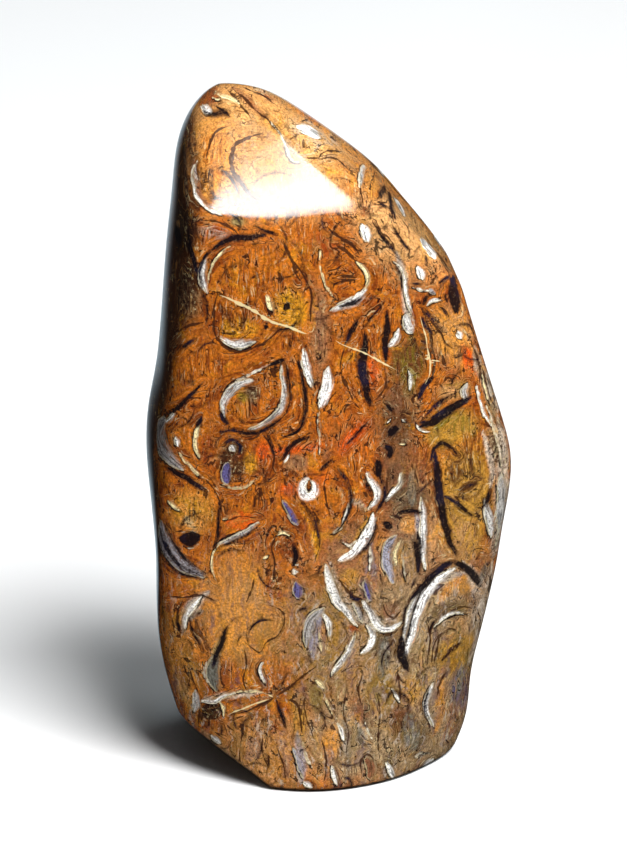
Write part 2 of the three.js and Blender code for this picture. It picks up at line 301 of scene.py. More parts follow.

# Soft streaks of ground colour, and on the flanks and edges painted shade, a painted highlight and
# a painted reflection: half width in mm, main and second colour, and the points of the middle
# line in pixels of the photo.
HAZES = {
    "left low lens": (2.2, "pale", "grey", [(182, 634), (186, 616), (198, 602), (210, 592)]),
    "left low shade": (1.2, "slate", "brown", [(190, 620), (197, 614), (204, 610)]),
    "dark lens": (2.0, "grey olive", "ink", [(224, 634), (217, 650), (213, 668), (214, 686)]),
    # Painted reflection: a pale streak along the low bevel at the left.
    "painted reflection on the low bevel": (1.8, "washed", "mauve", [(174, 664), (182, 686), (190, 704), (196, 720)]),
    # Painted highlight: a pale pink streak along the heel's sawn edge.
    "painted highlight on the heel edge": (2.0, "pink", "washed", [(200, 728), (222, 750), (244, 770), (262, 782)]),
    "cream vein": (1.3, "pale", "washed", [(200, 701), (219, 697), (240, 694), (262, 692)]),
    "left corner": (1.6, "washed", "cream", [(184, 516), (190, 522), (195, 528)]),
    # Painted shade: brown and dark brown down the upper left rim, where the flank turns from the lights.
    "painted shade on the upper left rim": (2.8, "brown", "dark brown", [
        (188, 108), (190, 132), (193, 158), (196, 185), (197, 212),
    ]),
    "shoulder arc": (1.2, "mauve", "white", [(194, 160), (194, 178), (200, 196), (214, 208)]),
    "swoosh": (2.4, "pale", "lavender", [(466, 572), (440, 580), (420, 600), (412, 630), (404, 660)]),
    "right of the column": (1.6, "slate", "umber", [(410, 480), (412, 495), (412, 506)]),
    "v": (2.0, "pale", "grey brown", [(330, 560), (340, 595), (365, 620), (396, 620)]),
    "lower middle": (2.2, "grey brown", "pale", [(318, 600), (312, 625), (312, 660)]),
    "right flame": (1.4, "pale", "grey", [(396, 250), (404, 280), (409, 330)]),
    "right edge": (1.8, "grey brown", "pale", [(474, 345), (484, 378), (498, 412)]),
    "low right": (2.4, "pale", "grey brown", [(462, 560), (478, 590), (474, 630)]),
    "foot streak": (1.8, "lavender", "pale", [(296, 730), (301, 755), (302, 785)]),
    "crest edge": (1.2, "washed", "tan", [(408, 214), (420, 228), (432, 244)]),
    "crest top edge": (1.4, "grey brown", "pale", [(330, 128), (350, 144), (372, 160), (392, 184)]),
    "centre grey": (1.5, "grey brown", "pale", [(352, 498), (360, 506), (368, 512)]),
    "by the column": (1.2, "pale", "lavender", [(416, 512), (418, 530), (419, 545)]),
    "centre brown": (2.6, "brown", "mauve", [(398, 380), (396, 412), (388, 440), (384, 468)]),
    # Painted shade: ink and dark brown over the left flank, which the lights leave in shade.
    "left flank": (4.4, "ink", "dark brown", [
        (184, 140), (182, 190), (180, 240), (176, 300), (166, 350), (158, 400), (151, 440),
        (151, 470),
    ]),
    # Painted shade, lower down the left flank.
    "painted shade low on the left flank": (1.8, "dark brown", "ink", [(150, 440), (154, 500), (157, 560), (157, 610)]),
    "right rim": (2.4, "pale", "grey brown", [
        (498, 416), (504, 450), (503, 490), (498, 530), (492, 560),
    ]),
    "right rim streaks": (1.2, "pale", "dark brown", [(482, 430), (488, 450), (492, 470), (490, 490)]),
    "beside the column": (1.4, "grey brown", "slate", [(414, 468), (412, 484), (412, 500)]),
    "striped column": (1.6, "tan", "brown", [(432, 500), (433, 525), (434, 560)]),
    "orange arc": (1.5, "yellow", "orange", [(299, 503), (309, 518), (316, 538), (317, 560)]),
    "inside the s vein": (1.4, "ochre", "light orange", [(368, 516), (363, 530), (354, 542)]),
    "mid vertical": (2.2, "mauve", "lavender", [(370, 540), (371, 565), (373, 592)]),
    "grey olive middle": (2.4, "slate", "grey olive", [(386, 636), (384, 655), (380, 680)]),
    "swoosh right branch": (1.4, "slate", "navy", [(489, 560), (484, 572), (480, 584)]),
    "orange streak": (1.5, "light orange", "orange", [(434, 606), (446, 593), (456, 583), (464, 574)]),
    "low right rim": (2.2, "pale", "sand", [(492, 560), (486, 600), (478, 640), (470, 668)]),
    "right foot dark": (2.2, "slate", "violet", [(464, 664), (458, 684), (452, 702)]),
    "pit foot": (1.4, "red brown", "light orange", [(208, 722), (214, 730), (216, 738)]),
    "foot blot": (1.5, "slate", "ink", [(358, 726), (361, 736), (364, 746)]),
    "orange column": (1.9, "light orange", "tan", [(444, 664), (440, 690), (441, 712), (434, 736)]),
    "foot green": (3.0, "slate", "grey olive", [(408, 712), (410, 730), (414, 752)]),
    "foot mauve right": (2.2, "mauve", "pale", [(452, 700), (452, 722), (446, 742)]),
    "dark stem": (1.3, "umber", "pale", [(344, 700), (346, 730), (348, 760), (345, 784)]),
    "pod": (2.4, "lavender", "moss", [(321, 608), (313, 630), (313, 658)]),
    "low right streaks": (1.6, "moss", "tan", [(424, 640), (420, 668), (424, 692)]),
    "crown pale": (1.5, "pale", "cream", [(252, 86), (262, 88), (272, 91), (281, 97)]),
    "crown mauve": (1.3, "mauve", "red brown", [(232, 86), (244, 97), (256, 109), (268, 120)]),
    "crown smudge": (1.8, "brown", "dark brown", [(206, 112), (216, 113), (230, 116)]),
    "crown smudge top": (1.6, "red brown", "brown", [(198, 106), (206, 96), (216, 88)]),
}

# Clouds of ground colour on the sides and the back: main and second colour, and strength.
CLOUDS = [
    ("light orange", "tan", 0.7),
    ("red brown", "brown", 0.7),
    ("red", "red brown", 0.4),
    ("ochre", "olive", 0.35),
]

# Chalcedony lenses: half width in mm, tone from 0 (lavender) to 1 (white) or a colour, and the
# points of the middle line in pixels of the photo.
SHELLS = {
    "crown spot": (1.3, 1.0, [(201, 103), (206, 109), (213, 112)]),
    "shoulder oval": (1.9, 1.0, [(296, 127), (304, 129), (312, 133), (320, 138)]),
    "shoulder arc": (0.55, 0.95, [
        (197, 160), (193, 172), (194, 186), (198, 198), (207, 208), (222, 215),
    ]),
    "crest crescent": (0.8, 0.7, [(372, 160), (364, 167), (361, 178), (361, 190)]),
    "crest wedge": (1.2, 0.8, [(393, 193), (399, 204), (405, 217)]),
    "crest spot": (1.5, 1.0, [(362, 224), (366, 232), (369, 242)]),
    "crest patch": (1.8, 1.0, [(421, 238), (428, 249), (436, 259)]),
    "oval left crescent": (1.1, 0.8, [(207, 256), (203, 268), (203, 281), (207, 294)]),
    "oval lower crescent": (1.2, 0.8, [(220, 337), (230, 342), (242, 344), (256, 340)]),
    "oval blade": (0.85, "cream", [(267, 294), (269, 302), (272, 311)]),
    "eye left crescent": (1.3, 0.7, [(254, 380), (240, 385), (229, 393), (224, 404), (226, 418)]),
    "eye right crescent": (0.95, 0.65, [
        (281, 364), (284, 384), (284, 399), (279, 412), (266, 423), (246, 431),
    ]),
    "blade a": (1.15, 1.0, [(303, 349), (307, 368), (312, 389)]),
    "blade b": (1.6, 1.0, [(328, 366), (327, 386), (320, 410)]),
    "left crescent": (1.8, 0.4, [(172, 412), (162, 424), (160, 439), (166, 454), (184, 471)]),
    "left spot": (0.95, 1.0, [(175, 436), (178, 447)]),
    "left cream blade": (0.7, "cream", [(200, 422), (196, 436), (196, 448), (201, 459)]),
    "left cream tail": (0.5, "cream", [(178, 452), (187, 463), (196, 472), (205, 479)]),
    "breccia spot": (1.0, 1.0, [(230, 445), (234, 452)]),
    "breccia rim": (0.4, "cream", [(221, 483), (232, 488), (245, 487), (257, 477)]),
    "striped lens": (2.1, 0.25, [(160, 520), (167, 545), (181, 562), (206, 578)]),
    "grey streak": (0.8, 0.6, [(260, 522), (247, 531), (234, 538), (218, 545)]),
    "pale arc": (0.35, "cream", [(220, 545), (213, 555), (212, 568), (216, 580)]),
    "left low lens": (0.9, 0.9, [(184, 630), (186, 617), (193, 607), (203, 596)]),
    "dark lens edge": (0.45, 0.8, [(206, 662), (205, 674), (211, 686)]),
    "small crescent": (0.6, 0.8, [(264, 661), (261, 671), (266, 685)]),
    "cream vein": (0.7, 0.95, [(200, 700), (214, 701), (224, 696), (236, 692)]),
    "foot white": (0.9, 0.7, [(211, 735), (216, 739), (221, 743)]),
    "flank white": (1.1, 0.7, [(194, 690), (197, 702), (194, 714)]),
    "centre chip": (0.5, 1.0, [(283, 462), (289, 453)]),
    "ring": (1.4, 1.0, [
        (310, 480), (315, 484), (315, 492), (310, 497), (304, 495), (302, 487), (306, 480),
        (310, 479),
    ]),
    "swoosh edge": (1.0, "violet", [(282, 500), (289, 511), (300, 526)]),
    "brown ring rim": (0.5, "cream", [(275, 536), (283, 533), (290, 536)]),
    "stem chip": (0.6, 0.8, [(293, 569), (298, 572)]),
    "swirl crescent": (0.7, "cream", [(357, 261), (365, 269), (368, 281), (365, 292)]),
    "swirl hair": (0.3, "cream", [(321, 250), (320, 265), (323, 280), (330, 292), (338, 300)]),
    "flame": (0.6, 0.9, [(393, 261), (401, 268), (405, 282), (408, 300), (415, 326)]),
    "flame foot": (1.5, 0.7, [(406, 314), (408, 324), (412, 335)]),
    "right blob": (1.15, 1.0, [(417, 266), (421, 272), (423, 280)]),
    "right dash": (0.45, 0.95, [(413, 287), (424, 290), (433, 288)]),
    "right crescent": (0.6, 0.9, [(427, 306), (432, 301), (441, 300)]),
    "grey bead": (1.0, 0.9, [(399, 328), (396, 340), (388, 348)]),
    "right spot": (0.95, 1.0, [(457, 331), (462, 339)]),
    "edge streak": (0.55, 0.95, [(476, 384), (479, 400), (485, 414), (492, 427)]),
    "ink lens edge": (1.0, 0.6, [(468, 383), (464, 392), (467, 403)]),
    "small grey pin": (0.7, 0.8, [(409, 370), (411, 380), (409, 391)]),
    "upper s vein": (1.1, 0.95, [(366, 471), (374, 484), (378, 497), (368, 509)]),
    "lower s vein": (1.5, 1.0, [(374, 512), (371, 528), (364, 541), (353, 553), (338, 561)]),
    "s vein twin": (0.7, 0.95, [(402, 470), (401, 482), (395, 491), (384, 503)]),
    "v left": (1.3, 0.8, [(326, 561), (329, 579), (336, 598), (346, 611), (358, 627)]),
    "v right": (1.2, 0.85, [(361, 598), (371, 613), (380, 626), (391, 628), (402, 621)]),
    "v chip": (0.8, 0.5, [(353, 601), (359, 612), (363, 624)]),
    "small v": (0.45, "pale", [(331, 534), (338, 529), (345, 524)]),
    "lower crescent": (1.2, 0.9, [(366, 623), (373, 633), (371, 645), (360, 655)]),
    "pod left": (1.5, 0.45, [(325, 608), (313, 618), (307, 632), (306, 648)]),
    "pod right": (0.8, 0.8, [(321, 610), (329, 622), (331, 640)]),
    "thin lens": (1.0, 0.75, [(356, 632), (350, 648), (343, 660), (331, 676)]),
    "column": (1.2, 0.8, [(421, 496), (424, 520), (423, 545), (426, 570)]),
    "lavender arc": (1.5, 0.1, [(397, 534), (388, 547), (387, 562), (394, 584)]),
    "lavender arc rim": (0.5, "cream", [(400, 539), (395, 552), (396, 568)]),
    "big swoosh": (1.4, 1.0, [(458, 566), (440, 578), (427, 592), (418, 612), (412, 634), (404, 659)]),
    "big swoosh inner": (0.5, "pink", [(431, 596), (422, 614), (416, 634), (410, 652)]),
    "low arc": (0.5, 0.8, [(434, 628), (441, 619), (452, 613), (468, 613)]),
    "white column": (0.95, 0.95, [(434, 682), (427, 700), (428, 713), (434, 728)]),
    "grey oval": (1.5, "mauve", [(366, 756), (371, 768), (370, 780)]),
    "foot chip a": (0.9, 0.9, [(386, 762), (391, 770), (395, 780)]),
    "foot chip b": (0.9, 0.9, [(420, 769), (427, 763), (434, 759)]),
    "foot chip c": (0.8, 0.8, [(304, 782), (312, 788)]),
    "foot chip d": (0.5, "pale", [(302, 741), (306, 754), (312, 768)]),
    "foot chip e": (0.7, 0.8, [(332, 766), (334, 775), (337, 785)]),
    "foot chip f": (0.7, "cream", [(315, 679), (320, 683), (325, 689)]),
    "foot chip g": (0.7, 0.9, [(337, 723), (341, 731), (344, 740)]),
    "foot lavender": (0.7, 0.2, [(293, 747), (299, 762), (304, 779)]),
    "right edge lens": (1.2, 0.7, [(484, 498), (489, 515), (492, 538)]),
    "right rim lens": (1.5, 0.6, [(500, 474), (502, 500), (498, 530)]),
    "crown streak": (0.55, "cream", [(214, 91), (221, 95), (230, 98), (241, 104)]),
    "shoulder inner vein": (0.45, 0.8, [(270, 122), (281, 136), (288, 150), (292, 160), (300, 163)]),
    "crest rim": (0.8, 0.8, [(350, 144), (360, 149), (372, 159)]),
    "oval left inner": (0.4, "cream", [(231, 246), (219, 256), (211, 269), (207, 283)]),
    "swirl foot": (1.3, 0.75, [(368, 288), (358, 299), (345, 305), (330, 311)]),
    "right bead": (0.8, 0.3, [(429, 288), (435, 294)]),
    "green ink core": (0.35, "grey olive", [(440, 416), (452, 408), (464, 401)]),
    "edge streak twin": (0.3, "cream", [(482, 374), (486, 390), (493, 408)]),
    "left crescent tip": (0.8, 1.0, [(176, 412), (170, 419), (164, 424)]),
    "eye top vein": (0.35, 0.95, [(236, 381), (250, 374), (262, 368), (276, 363)]),
    "breccia navy": (1.6, "violet", [(229, 462), (226, 473), (228, 484)]),
    "blade b tail": (0.35, "pale", [(320, 406), (318, 424), (320, 440), (319, 456)]),
    "centre sparkle a": (0.5, 1.0, [(402, 418), (406, 421)]),
    "centre sparkle b": (0.4, "cream", [(399, 443), (405, 443)]),
    "centre sparkle c": (0.4, 0.9, [(387, 423), (390, 419)]),
    "centre white arc": (0.4, 0.95, [(416, 423), (421, 430), (430, 432)]),
    "orange cell edge": (0.6, 0.95, [(353, 497), (349, 509), (342, 525)]),
    "navy blob sparkle a": (0.3, 1.0, [(181, 532), (190, 531), (199, 534)]),
    "navy blob sparkle b": (0.3, 1.0, [(184, 546), (193, 547), (199, 543)]),
    "yellow sparkle": (0.6, "cream", [(168, 500), (173, 506), (180, 511)]),
    "diamond chip": (0.5, "cream", [(222, 519), (227, 518)]),
    "stem violet": (1.4, "violet", [(295, 582), (298, 590), (299, 600)]),
    "stem sparkle a": (0.35, 1.0, [(294, 562), (299, 566)]),
    "stem sparkle b": (0.35, 1.0, [(292, 571), (296, 576)]),
    "stem sparkle c": (0.45, "cream", [(263, 558), (268, 555)]),
    "s vein feather": (0.35, 0.9, [(341, 541), (349, 545), (356, 540)]),
    "v navy": (0.9, "violet", [(364, 580), (367, 590), (372, 602)]),
    "mid vertical a": (0.45, 0.8, [(369, 545), (371, 558), (370, 570)]),
    "grey oval streak": (0.35, 0.3, [(404, 545), (403, 562), (406, 580)]),
    "swoosh left stripe": (0.85, 0.85, [(422, 586), (412, 606), (406, 628), (402, 646)]),
    "swoosh top stripe": (0.7, 0.1, [(456, 566), (443, 576), (430, 587)]),
    "dark lens body": (1.8, "slate", [(217, 654), (213, 670), (217, 692)]),
    "dark lens chip": (0.35, "cream", [(215, 670), (217, 673)]),
    "cream vein end": (0.35, "cream", [(232, 693), (248, 690), (262, 692), (274, 698)]),
    "cream vein drop": (0.5, "cream", [(219, 700), (224, 708), (224, 716)]),
    "foot thread": (0.3, "cream", [(324, 690), (328, 704), (335, 720)]),
    "foot blot thread": (0.3, 0.9, [(364, 721), (368, 732), (374, 741)]),
    "foot chip h": (0.6, 0.9, [(392, 688), (396, 694), (400, 702)]),
    "foot chip i": (0.5, 0.9, [(414, 758), (420, 753), (430, 752)]),
    "pod core": (0.4, "cream", [(320, 628), (320, 640), (322, 654)]),
    "crown streak low": (0.4, "cream", [(210, 97), (215, 98), (221, 99)]),
    "crown chip": (0.7, "pale", [(255, 86), (262, 87), (270, 90)]),
    "right rim sliver": (0.45, "pale", [(486, 404), (493, 424), (499, 446), (502, 468)]),
    "right rim sliver low": (0.5, 0.6, [(503, 470), (505, 495), (501, 522), (495, 548)]),
    "crest bead": (0.9, 1.0, [(384, 168), (390, 175), (395, 183)]),
}

# Dark strokes: half width in mm, and the points in pixels of the photo.
INKS = {
    "crown arc": (0.35, [(199, 107), (204, 112), (212, 115), (219, 116)]),
    "crown smudge": (0.45, [(207, 113), (215, 114), (223, 113), (231, 117)]),
    "shoulder stroke a": (0.45, [(221, 170), (231, 177), (238, 190), (242, 200)]),
    "shoulder stroke b": (0.35, [(238, 176), (247, 190), (262, 204)]),
    "oval brow": (0.85, [(266, 235), (242, 238), (226, 242), (211, 250)]),
    "oval left outline": (0.4, [(211, 250), (204, 258), (200, 269), (200, 281)]),
    "oval left lower": (0.4, [(200, 281), (203, 295), (207, 308), (206, 322)]),
    "oval brow tail": (0.4, [(254, 226), (265, 231), (278, 235)]),
    "crest stripe a": (0.35, [(374, 222), (384, 238), (396, 254), (406, 266)]),
    "crest stripe b": (0.35, [(392, 226), (400, 238), (410, 252)]),
    "edge knot": (0.4, [(439, 283), (446, 278), (452, 275)]),
    "edge blot": (1.5, [(453, 275), (454, 292), (456, 313)]),
    "right strokes a": (0.4, [(421, 307), (431, 318), (442, 331)]),
    "right strokes b": (0.5, [(422, 317), (425, 326), (433, 334)]),
    "ink needle": (1.0, [(386, 311), (387, 330), (385, 346), (386, 363)]),
    "ink blade": (1.15, [(365, 331), (364, 350), (362, 364), (364, 382), (371, 407)]),
    "ink hair": (0.55, [(359, 317), (353, 330), (345, 344)]),
    "ink hook": (0.75, [(433, 376), (424, 386), (417, 399)]),
    "ink diagonal": (0.45, [(425, 417), (436, 406), (447, 397), (457, 392)]),
    "green ink lens": (1.2, [(419, 428), (434, 420), (448, 411), (460, 403), (471, 397)]),
    "centre blot a": (1.0, [(388, 436), (394, 430), (399, 427)]),
    "centre blot b": (0.9, [(385, 445), (391, 450), (388, 459)]),
    "centre blot c": (0.6, [(386, 404), (393, 412)]),
    "red heart stroke": (0.4, [(346, 445), (357, 433), (368, 422)]),
    "red heart foot": (0.5, [(320, 471), (333, 459)]),
    "left diagonal": (0.6, [(203, 382), (193, 393), (182, 404), (170, 412), (158, 416)]),
    "left dash": (0.5, [(202, 416), (196, 427)]),
    "left black lens": (0.75, [(164, 466), (178, 474), (192, 482), (206, 491)]),
    "navy blob": (1.9, [(180, 540), (189, 539), (200, 536)]),
    "eye tip": (0.8, [(285, 359), (277, 363), (270, 366)]),
    "eye floor": (0.5, [(218, 433), (232, 430), (245, 433), (258, 432), (270, 427), (282, 418)]),
    "eye side line": (0.5, [(298, 355), (302, 378), (306, 398), (305, 416), (298, 430), (280, 439)]),
    "under eye stroke": (0.7, [(280, 461), (289, 449), (298, 441), (310, 436)]),
    "dark lens": (0.75, [(227, 626), (222, 642), (216, 656), (212, 668)]),
    "left low line": (0.3, [(190, 618), (193, 632), (199, 641), (204, 652)]),
    "left rim line": (0.35, [(176, 619), (180, 634)]),
    "ring hole": (0.5, [(309, 488), (311, 490)]),
    "brown ring side": (0.8, [(294, 545), (297, 555), (293, 565)]),
    "right ink": (1.1, [(434, 448), (437, 470), (439, 492), (443, 515), (448, 536), (457, 556)]),
    "right ink hook": (0.55, [(431, 462), (434, 449), (442, 443), (450, 447), (457, 455)]),
    "right ink branch": (0.6, [(443, 496), (455, 502), (464, 510), (474, 517)]),
    "dash": (0.55, [(400, 512), (411, 510), (423, 513)]),
    "blotch": (1.0, [(383, 523), (392, 528)]),
    "swoosh outline": (0.95, [(456, 560), (442, 567), (430, 578), (420, 590), (409, 600)]),
    "swoosh tip": (1.3, [(401, 636), (402, 655), (408, 672)]),
    "swoosh stripe": (0.42, [(424, 587), (416, 604), (411, 622), (406, 644)]),
    "swoosh right": (1.0, [(453, 561), (464, 567), (474, 576), (481, 588)]),
    "column left": (0.4, [(430, 688), (425, 704), (428, 722)]),
    "s vein outline": (0.5, [(378, 468), (383, 484), (385, 498), (376, 512)]),
    "s vein knot": (0.9, [(376, 460), (379, 470), (378, 477)]),
    "v shadow": (0.5, [(352, 590), (352, 598), (362, 600)]),
    "orange cell side": (0.4, [(337, 467), (349, 489), (351, 506), (344, 522), (333, 536)]),
    "swoosh shadow": (0.35, [(302, 501), (311, 515), (318, 531), (318, 547)]),
    "low right line": (0.35, [(461, 643), (450, 652), (440, 662)]),
    "left band blot": (0.9, [(176, 225), (180, 245)]),
    "loop": (0.3, [(386, 704), (389, 695), (396, 692), (408, 701), (407, 713)]),
    "crest hook dark": (0.6, [(387, 185), (382, 193), (378, 200)]),
    "crest wedge side": (0.5, [(389, 190), (391, 208), (396, 222)]),
    "left band side": (0.6, [(187, 226), (190, 246), (194, 262), (198, 275)]),
    "left sag thick": (0.5, [(178, 352), (187, 344), (196, 338)]),
    "yellow corner spot a": (1.1, [(284, 305), (290, 308)]),
    "yellow corner spot b": (0.8, [(264, 325), (268, 326)]),
    "swirl foot core": (0.55, [(362, 298), (352, 303), (340, 307)]),
    "flame core": (0.3, [(395, 266), (400, 274), (402, 290)]),
    "right dash shade": (0.35, [(413, 283), (422, 284)]),
    "right crescent side": (0.4, [(424, 305), (427, 297), (435, 292)]),
    "ink hair twin": (0.35, [(384, 302), (373, 315), (365, 327)]),
    "right strokes c": (0.25, [(440, 307), (447, 316)]),
    "eye right side": (0.45, [(284, 362), (288, 376), (289, 392)]),
    "eye left foot": (0.6, [(221, 412), (224, 419), (229, 425)]),
    "breccia ring": (0.5, [(224, 444), (232, 440), (240, 445), (239, 454)]),
    "red sliver": (0.4, [(267, 435), (271, 444), (275, 454)]),
    "centre white arc side": (0.4, [(419, 423), (430, 422)]),
    "s vein inner side": (0.4, [(365, 476), (369, 488), (372, 498)]),
    "right smudge": (0.4, [(460, 489), (468, 487), (476, 483)]),
    "right edge lens side": (0.6, [(483, 508), (487, 499), (490, 490)]),
    "column shade": (0.6, [(417, 532), (420, 550), (419, 572)]),
    "striped lens a": (0.4, [(164, 522), (172, 542), (184, 557), (204, 574)]),
    "striped lens b": (0.45, [(160, 528), (167, 549), (180, 564), (203, 578)]),
    "striped lens c": (0.4, [(158, 538), (165, 557), (178, 571), (200, 580)]),
    "left fold": (0.35, [(222, 500), (218, 518), (219, 535), (214, 549)]),
    "grey streak side": (0.3, [(256, 528), (244, 536), (232, 541), (222, 546)]),
    "lower s vein side": (0.4, [(376, 520), (374, 534), (366, 548), (356, 557)]),
    "v hatch a": (0.25, [(356, 600), (361, 609), (364, 620)]),
    "v hatch b": (0.25, [(366, 603), (371, 612), (376, 621)]),
    "grey oval side": (0.8, [(412, 538), (418, 553), (418, 574)]),
    "swoosh outline low": (0.3, [(411, 596), (405, 612), (402, 630), (401, 645)]),
    "low arc side": (0.35, [(429, 634), (432, 625), (437, 619)]),
    "star leg": (0.4, [(277, 700), (281, 713), (286, 728)]),
    "crown smudge b": (0.4, [(217, 106), (222, 110), (229, 114)]),
    "crown edge blot": (0.5, [(274, 95), (281, 101), (289, 109)]),
    "crest edge shade": (0.3, [(389, 180), (398, 192), (407, 206)]),
    "right blob edge": (0.3, [(437, 252), (444, 262), (449, 272)]),
}

# Thin dark lines: half width in mm, and the points in pixels of the photo.
LINES = {
    "oval inner": (0.36, [
        (219, 290), (215, 305), (214, 320), (216, 336), (226, 348), (240, 351), (256, 346),
        (270, 338), (284, 326),
    ]),
    "oval right": (0.24, [
        (283, 240), (287, 252), (296, 266), (306, 280), (311, 293), (311, 312), (309, 328),
    ]),
    "eye outline left": (0.3, [
        (284, 358), (267, 367), (252, 374), (238, 379), (227, 387), (221, 398), (223, 413),
        (229, 423),
    ]),
    "eye outline right": (0.28, [
        (284, 360), (289, 378), (290, 398), (286, 413), (275, 424), (262, 431),
    ]),
    "shoulder curl": (0.3, [(230, 125), (218, 130), (211, 140), (207, 152), (206, 160)]),
    "shoulder base line": (0.3, [(200, 220), (215, 221), (228, 226), (240, 236)]),
    "crest line a": (0.24, [(300, 158), (318, 158), (322, 153), (332, 151), (345, 152)]),
    "crest line b": (0.26, [(318, 159), (330, 157), (340, 161), (350, 172)]),
    "crest hook": (0.24, [(378, 198), (384, 187), (390, 194), (392, 222)]),
    "crest loop": (0.22, [(371, 199), (370, 186), (376, 172), (383, 176), (384, 190)]),
    "left sag": (0.28, [(170, 336), (182, 329), (193, 325), (204, 321)]),
    "left band edge": (0.3, [(190, 262), (196, 276), (200, 290)]),
    "swirl a": (0.28, [(330, 280), (340, 276), (353, 275), (345, 268)]),
    "swirl b": (0.28, [(333, 291), (336, 284), (346, 281), (357, 280)]),
    "swirl c": (0.26, [(329, 272), (338, 268), (348, 264)]),
    "ink outline": (0.22, [(346, 345), (341, 358), (342, 375), (347, 390), (356, 404)]),
    "ink outline right": (0.22, [(384, 366), (386, 382), (380, 395), (372, 402)]),
    "right arc": (0.35, [(421, 308), (428, 326), (432, 344), (434, 362), (431, 378), (424, 388)]),
    "right upper a": (0.22, [(417, 305), (428, 318), (444, 340), (446, 362)]),
    "small triangle": (0.24, [(442, 384), (448, 377), (453, 382), (445, 385)]),
    "left fold a": (0.24, [(205, 478), (214, 490), (221, 505), (222, 518)]),
    "diamond top": (0.2, [(224, 521), (240, 517), (258, 518)]),
    "diamond foot": (0.22, [(215, 545), (228, 536), (244, 531), (258, 524)]),
    "diamond left": (0.2, [(221, 505), (219, 525), (214, 545), (211, 562)]),
    "low left a": (0.32, [(168, 597), (183, 598), (200, 596), (216, 601)]),
    "low left b": (0.26, [(246, 604), (251, 592), (255, 578)]),
    "cell a": (0.2, [
        (243, 640), (252, 648), (260, 652), (268, 642), (281, 631), (284, 614), (272, 606),
        (262, 604),
    ]),
    "cell b": (0.22, [(245, 648), (246, 665), (243, 680), (247, 692)]),
    "star a": (0.3, [(275, 698), (286, 690), (300, 679), (318, 664)]),
    "star b": (0.28, [(275, 697), (280, 711), (285, 728)]),
    "star c": (0.22, [(229, 715), (246, 712), (262, 704), (274, 698)]),
    "star d": (0.28, [(286, 699), (297, 704), (300, 718), (302, 735)]),
    "foot seam": (0.24, [(306, 690), (304, 706), (308, 722), (314, 740)]),
    "right low arc": (0.24, [(428, 640), (432, 628), (444, 619), (462, 614)]),
    "right low arc b": (0.22, [(432, 668), (433, 648), (438, 636), (450, 632)]),
    "right low line": (0.22, [(461, 643), (449, 653), (440, 662)]),
    "right curl": (0.22, [(473, 556), (474, 550), (480, 548), (485, 551)]),
    "orange cell left": (0.2, [(328, 470), (324, 486), (327, 503), (330, 520)]),
    "pocket rim": (0.22, [(381, 600), (385, 610), (392, 617), (402, 611)]),
    "v outline": (0.35, [(338, 577), (347, 590), (356, 597), (368, 601)]),
    "swoosh right edge": (0.24, [(312, 512), (318, 530), (319, 548), (314, 566)]),
    "stem left": (0.2, [(276, 532), (272, 548), (275, 566), (272, 585)]),
    "foot left seam": (0.22, [(188, 664), (193, 680), (199, 700), (199, 718), (197, 733)]),
    "mid left a": (0.22, [(262, 433), (272, 447), (274, 462), (268, 476)]),
    "shoulder long line": (0.26, [
        (230, 84), (235, 91), (246, 100), (257, 111), (272, 124), (284, 140), (289, 154),
    ]),
    "shoulder big arc": (0.5, [
        (264, 133), (250, 137), (239, 143), (232, 153), (231, 164), (237, 178), (250, 194),
        (264, 206),
    ]),
    "crown line": (0.26, [(240, 85), (252, 92), (266, 97), (279, 107)]),
    "shoulder dash": (0.18, [(244, 151), (258, 150)]),
    "oval roof": (0.24, [(298, 122), (310, 119), (322, 123), (332, 129)]),
    "crest dash": (0.24, [(375, 201), (388, 203)]),
    "crest lobe left": (0.3, [(362, 175), (361, 190), (363, 205)]),
    "below the highlight a": (0.4, [(326, 226), (340, 238), (352, 244), (360, 256)]),
    "below the highlight b": (0.4, [(334, 244), (347, 252), (358, 262), (368, 264)]),
    "below the highlight c": (0.35, [(283, 238), (289, 254), (294, 270), (300, 282)]),
    "red edge side": (0.35, [(470, 342), (477, 356), (480, 372), (479, 384)]),
    "right rim seam a": (0.24, [(482, 366), (487, 386), (496, 410)]),
    "right of blade b": (0.35, [(343, 374), (350, 394), (358, 407)]),
    "under blade b": (0.3, [(337, 391), (328, 401), (323, 413)]),
    "small loop": (0.28, [(345, 415), (346, 407), (354, 404), (361, 411)]),
    "s vein twin side": (0.3, [(388, 476), (387, 488), (390, 496), (384, 506)]),
    "low left c": (0.3, [(183, 601), (178, 610), (178, 622), (180, 635)]),
    "low right line": (0.32, [(461, 642), (450, 650), (441, 662)]),
    "low right vertical a": (0.24, [(428, 622), (430, 640), (427, 664)]),
    "low right vertical b": (0.22, [(438, 632), (437, 648), (433, 668)]),
    "foot vertical a": (0.24, [(346, 690), (344, 712), (348, 735), (345, 760)]),
    "foot vertical b": (0.24, [(376, 690), (380, 712), (378, 740), (380, 765)]),
    "foot vertical c": (0.24, [(322, 740), (326, 760), (324, 782)]),
    "foot vertical d": (0.22, [(263, 735), (262, 752), (270, 770)]),
    "foot vertical e": (0.22, [(276, 742), (282, 762), (286, 780)]),
    "low right vertical c": (0.24, [(448, 668), (440, 684), (436, 700)]),
    "foot vertical f": (0.26, [(396, 668), (400, 690), (398, 712)]),
    "foot vertical g": (0.24, [(362, 672), (358, 690), (362, 706)]),
    "foot loop": (0.26, [(362, 776), (361, 762), (366, 754), (373, 760), (373, 776)]),
    "crown line b": (0.3, [(224, 87), (233, 96), (245, 110), (252, 120)]),
}

